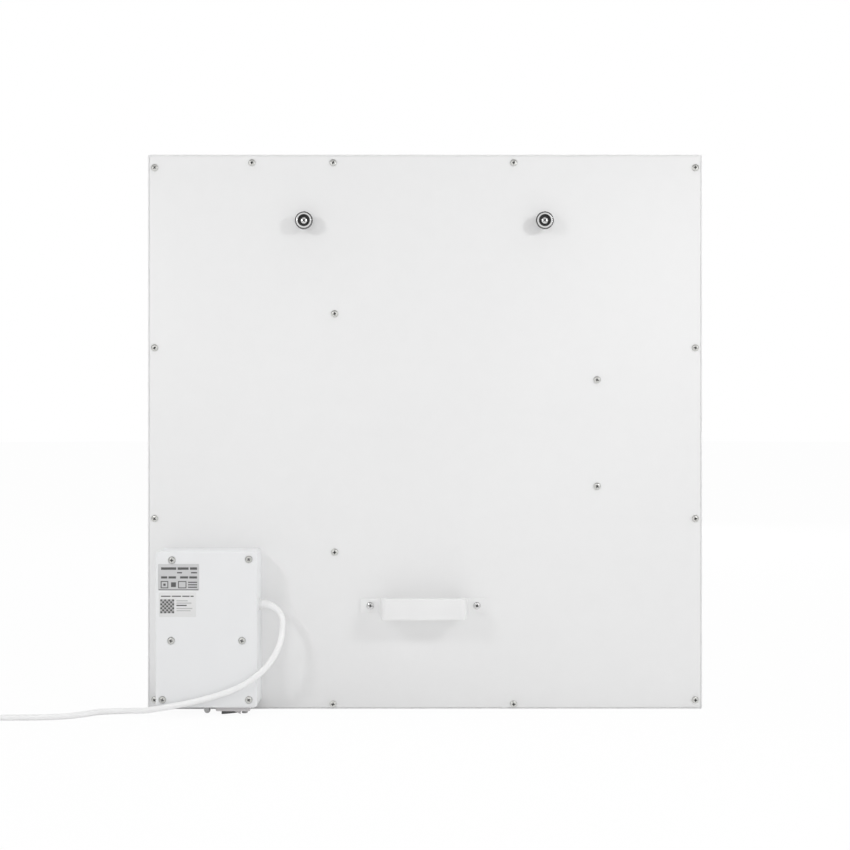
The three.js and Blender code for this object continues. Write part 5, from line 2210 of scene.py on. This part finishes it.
@dataclass(frozen=True)
class SwitchBlock(SubAssembly):
    """The switch block in the box's underside, with its rocker, button and lamp."""

    x: float = -203.1
    behind: float = 26.0
    half_width: float = 18.0
    half_thick: float = 10.0
    bottom: float = 4.8
    seat: float = 9.3
    rocker_x: float = -206.3
    rocker_half: float = 10.0
    rocker_width: float = 13.0
    rocker_drop: float = 6.7
    rocker_bulge: float = 0.25
    pivot_z: float = 8.759
    tilt: float = 6.0
    button_x: float = -191.6
    button_hole: float = 3.4
    button_out: float = 3.6
    lens: tuple[float, float] = (-231.2, 28.0)
    lens_out: float = 8.0
    lens_radius: float = 3.5
    body: tuple[Point, Point] = ((-218.3, 17.6, 8.3), (-194.3, 34.4, 27.0))
    ledge: tuple[Point, Point] = ((-195.3, 17.6, 8.3), (-186.8, 34.4, 13.2))
    pocket: tuple[Point, Point] = ((-216.8, 19.2, 3.8), (-195.8, 32.8, 13.76))
    guards: tuple[Flat, Flat] = ((18.2, 19.0), (33.0, 33.8))

    def housing(self) -> None:
        """Makes the bezel, its guards beside the rocker and the body inside the box."""
        flat = rounded(
            (self.x - self.half_width, self.behind - self.half_thick),
            (self.x + self.half_width, self.behind + self.half_thick),
            1.6,
            5,
        )

        def level(shrink: float, z: float) -> list[Point]:
            """The bezel's outline drawn in by a shrink.

            Args:
                shrink: How far it is drawn in.
                z: Its height.

            Returns:
                The outline.
            """
            wide, deep = 1 - shrink / self.half_width, 1 - shrink / self.half_thick
            return [
                (self.x + (x - self.x) * wide, self.behind + (behind - self.behind) * deep, z)
                for x, behind in flat
            ]

        rings = [level(0.7, self.bottom), level(0.2, self.bottom + 0.25),
                 level(0.0, self.bottom + 0.8), level(0.0, self.seat)]
        housing = Form().skin(rings).piece("switch_block", BEZEL_PLASTIC)
        guard = [(-203.5, 5.2), (-195.0, 1.5), (-195.0, 5.2)]
        guards = [Form().prism(guard, start, end, Axis.BEHIND) for start, end in self.guards]
        carve(housing, Join.ADD, Form().block(*self.body), Form().block(*self.ledge), *guards)
        button = (self.button_x, self.behind, self.bottom)
        hole = Form().rod(self.button_hole, -1.0, 7.4, Axis.UP, button)
        carve(housing, Join.CUT, Form().block(*self.pocket), hole)
        self.hand_over(housing, BEZEL_PLASTIC, "switch_housing")

    def rocker(self) -> None:
        """Makes the rocker with a bulged face and soft edges, leaning on its pivot."""
        length, crown, bulge, top = self.rocker_half, self.rocker_drop, self.rocker_bulge, 3.0
        outline = [(-length, -crown)]
        outline += [(length * (i / 8), -crown - bulge * (1 - (i / 8) ** 2)) for i in range(-7, 8)]
        outline += [(length, -crown), (9.0, 0.0), (8.0, top), (-8.0, top), (-9.0, 0.0)]
        half = self.rocker_width / 2
        form = Form().prism(outline, -half, half, Axis.BEHIND).round_edges(0.45, 3, 20.0)
        lean = Matrix.Rotation(-math.radians(self.tilt), 4, "Y")
        bmesh.ops.transform(form.mesh, matrix=lean, verts=form.mesh.verts)
        place = (self.rocker_x, self.behind, self.pivot_z)
        rocker = form.piece("rocker_cap", ROCKER_PLASTIC, place=place)
        self.hand_over(rocker, ROCKER_PLASTIC, "switch_rocker", body=Body.ROCKER)

    def button(self) -> None:
        """Makes the push button with its dished face."""
        profile = [
            (0.0, 0.35), (1.6, 0.2), (2.3, 0.0), (2.6, 0.0), (2.95, 0.15), (3.1, 0.5), (3.1, 8.8),
            (0.0, 8.8),
        ]
        place = (self.button_x, self.behind, self.bottom - self.button_out)
        button = Form().turn(profile, Axis.UP).piece("button_cap", BUTTON_PLASTIC, place=place)
        self.hand_over(button, BUTTON_PLASTIC, "push_button", body=Body.BUTTON)

    def lamp(self) -> None:
        """Makes the domed lamp lens with its flange and stem."""
        angles = (math.pi / 2 * i / 8 for i in range(9))
        dome = [(self.lens_radius * math.sin(a), self.lens_radius * (1 - math.cos(a))) for a in angles]
        stem = [(3.5, 7.2), (3.7, 7.3), (3.7, 8.0), (2.5, 8.0), (2.5, 14.0), (0.0, 14.0)]
        place = (*self.lens, self.seat - self.lens_out)
        lens = Form().turn([*dome, *stem], Axis.UP).piece("lamp_lens", LENS_ACRYLIC, place=place)
        self.hand_over(lens, LENS_ACRYLIC, "indicator_lens")

    def build(self) -> None:
        """Makes the block and what moves in it."""
        self.housing()
        self.rocker()
        self.button()
        self.lamp()


def corners(box: tuple[Vector, Vector]) -> list[list[float]]:
    """A box's two corners as plain lists."""
    return [[float(value) for value in corner] for corner in box]


def main() -> None:
    """Builds every sub-assembly on the frame."""
    logging.basicConfig(level=logging.INFO, format="%(name)s %(message)s")
    before = corners(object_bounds())
    studio = Studio()
    studio.place_camera()
    assemblies = (
        MainsLead(), PanelShell(), HeatStack(), HangingStuds(), BowHandle(), ControllerBox(),
        SwitchBlock(),
    )
    for assembly in assemblies:
        assembly.build()
    studio.set_up()
    {"cad": before, "visual": corners(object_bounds())}
    LOG.info("size written")


if __name__ == "__main__":
    main()
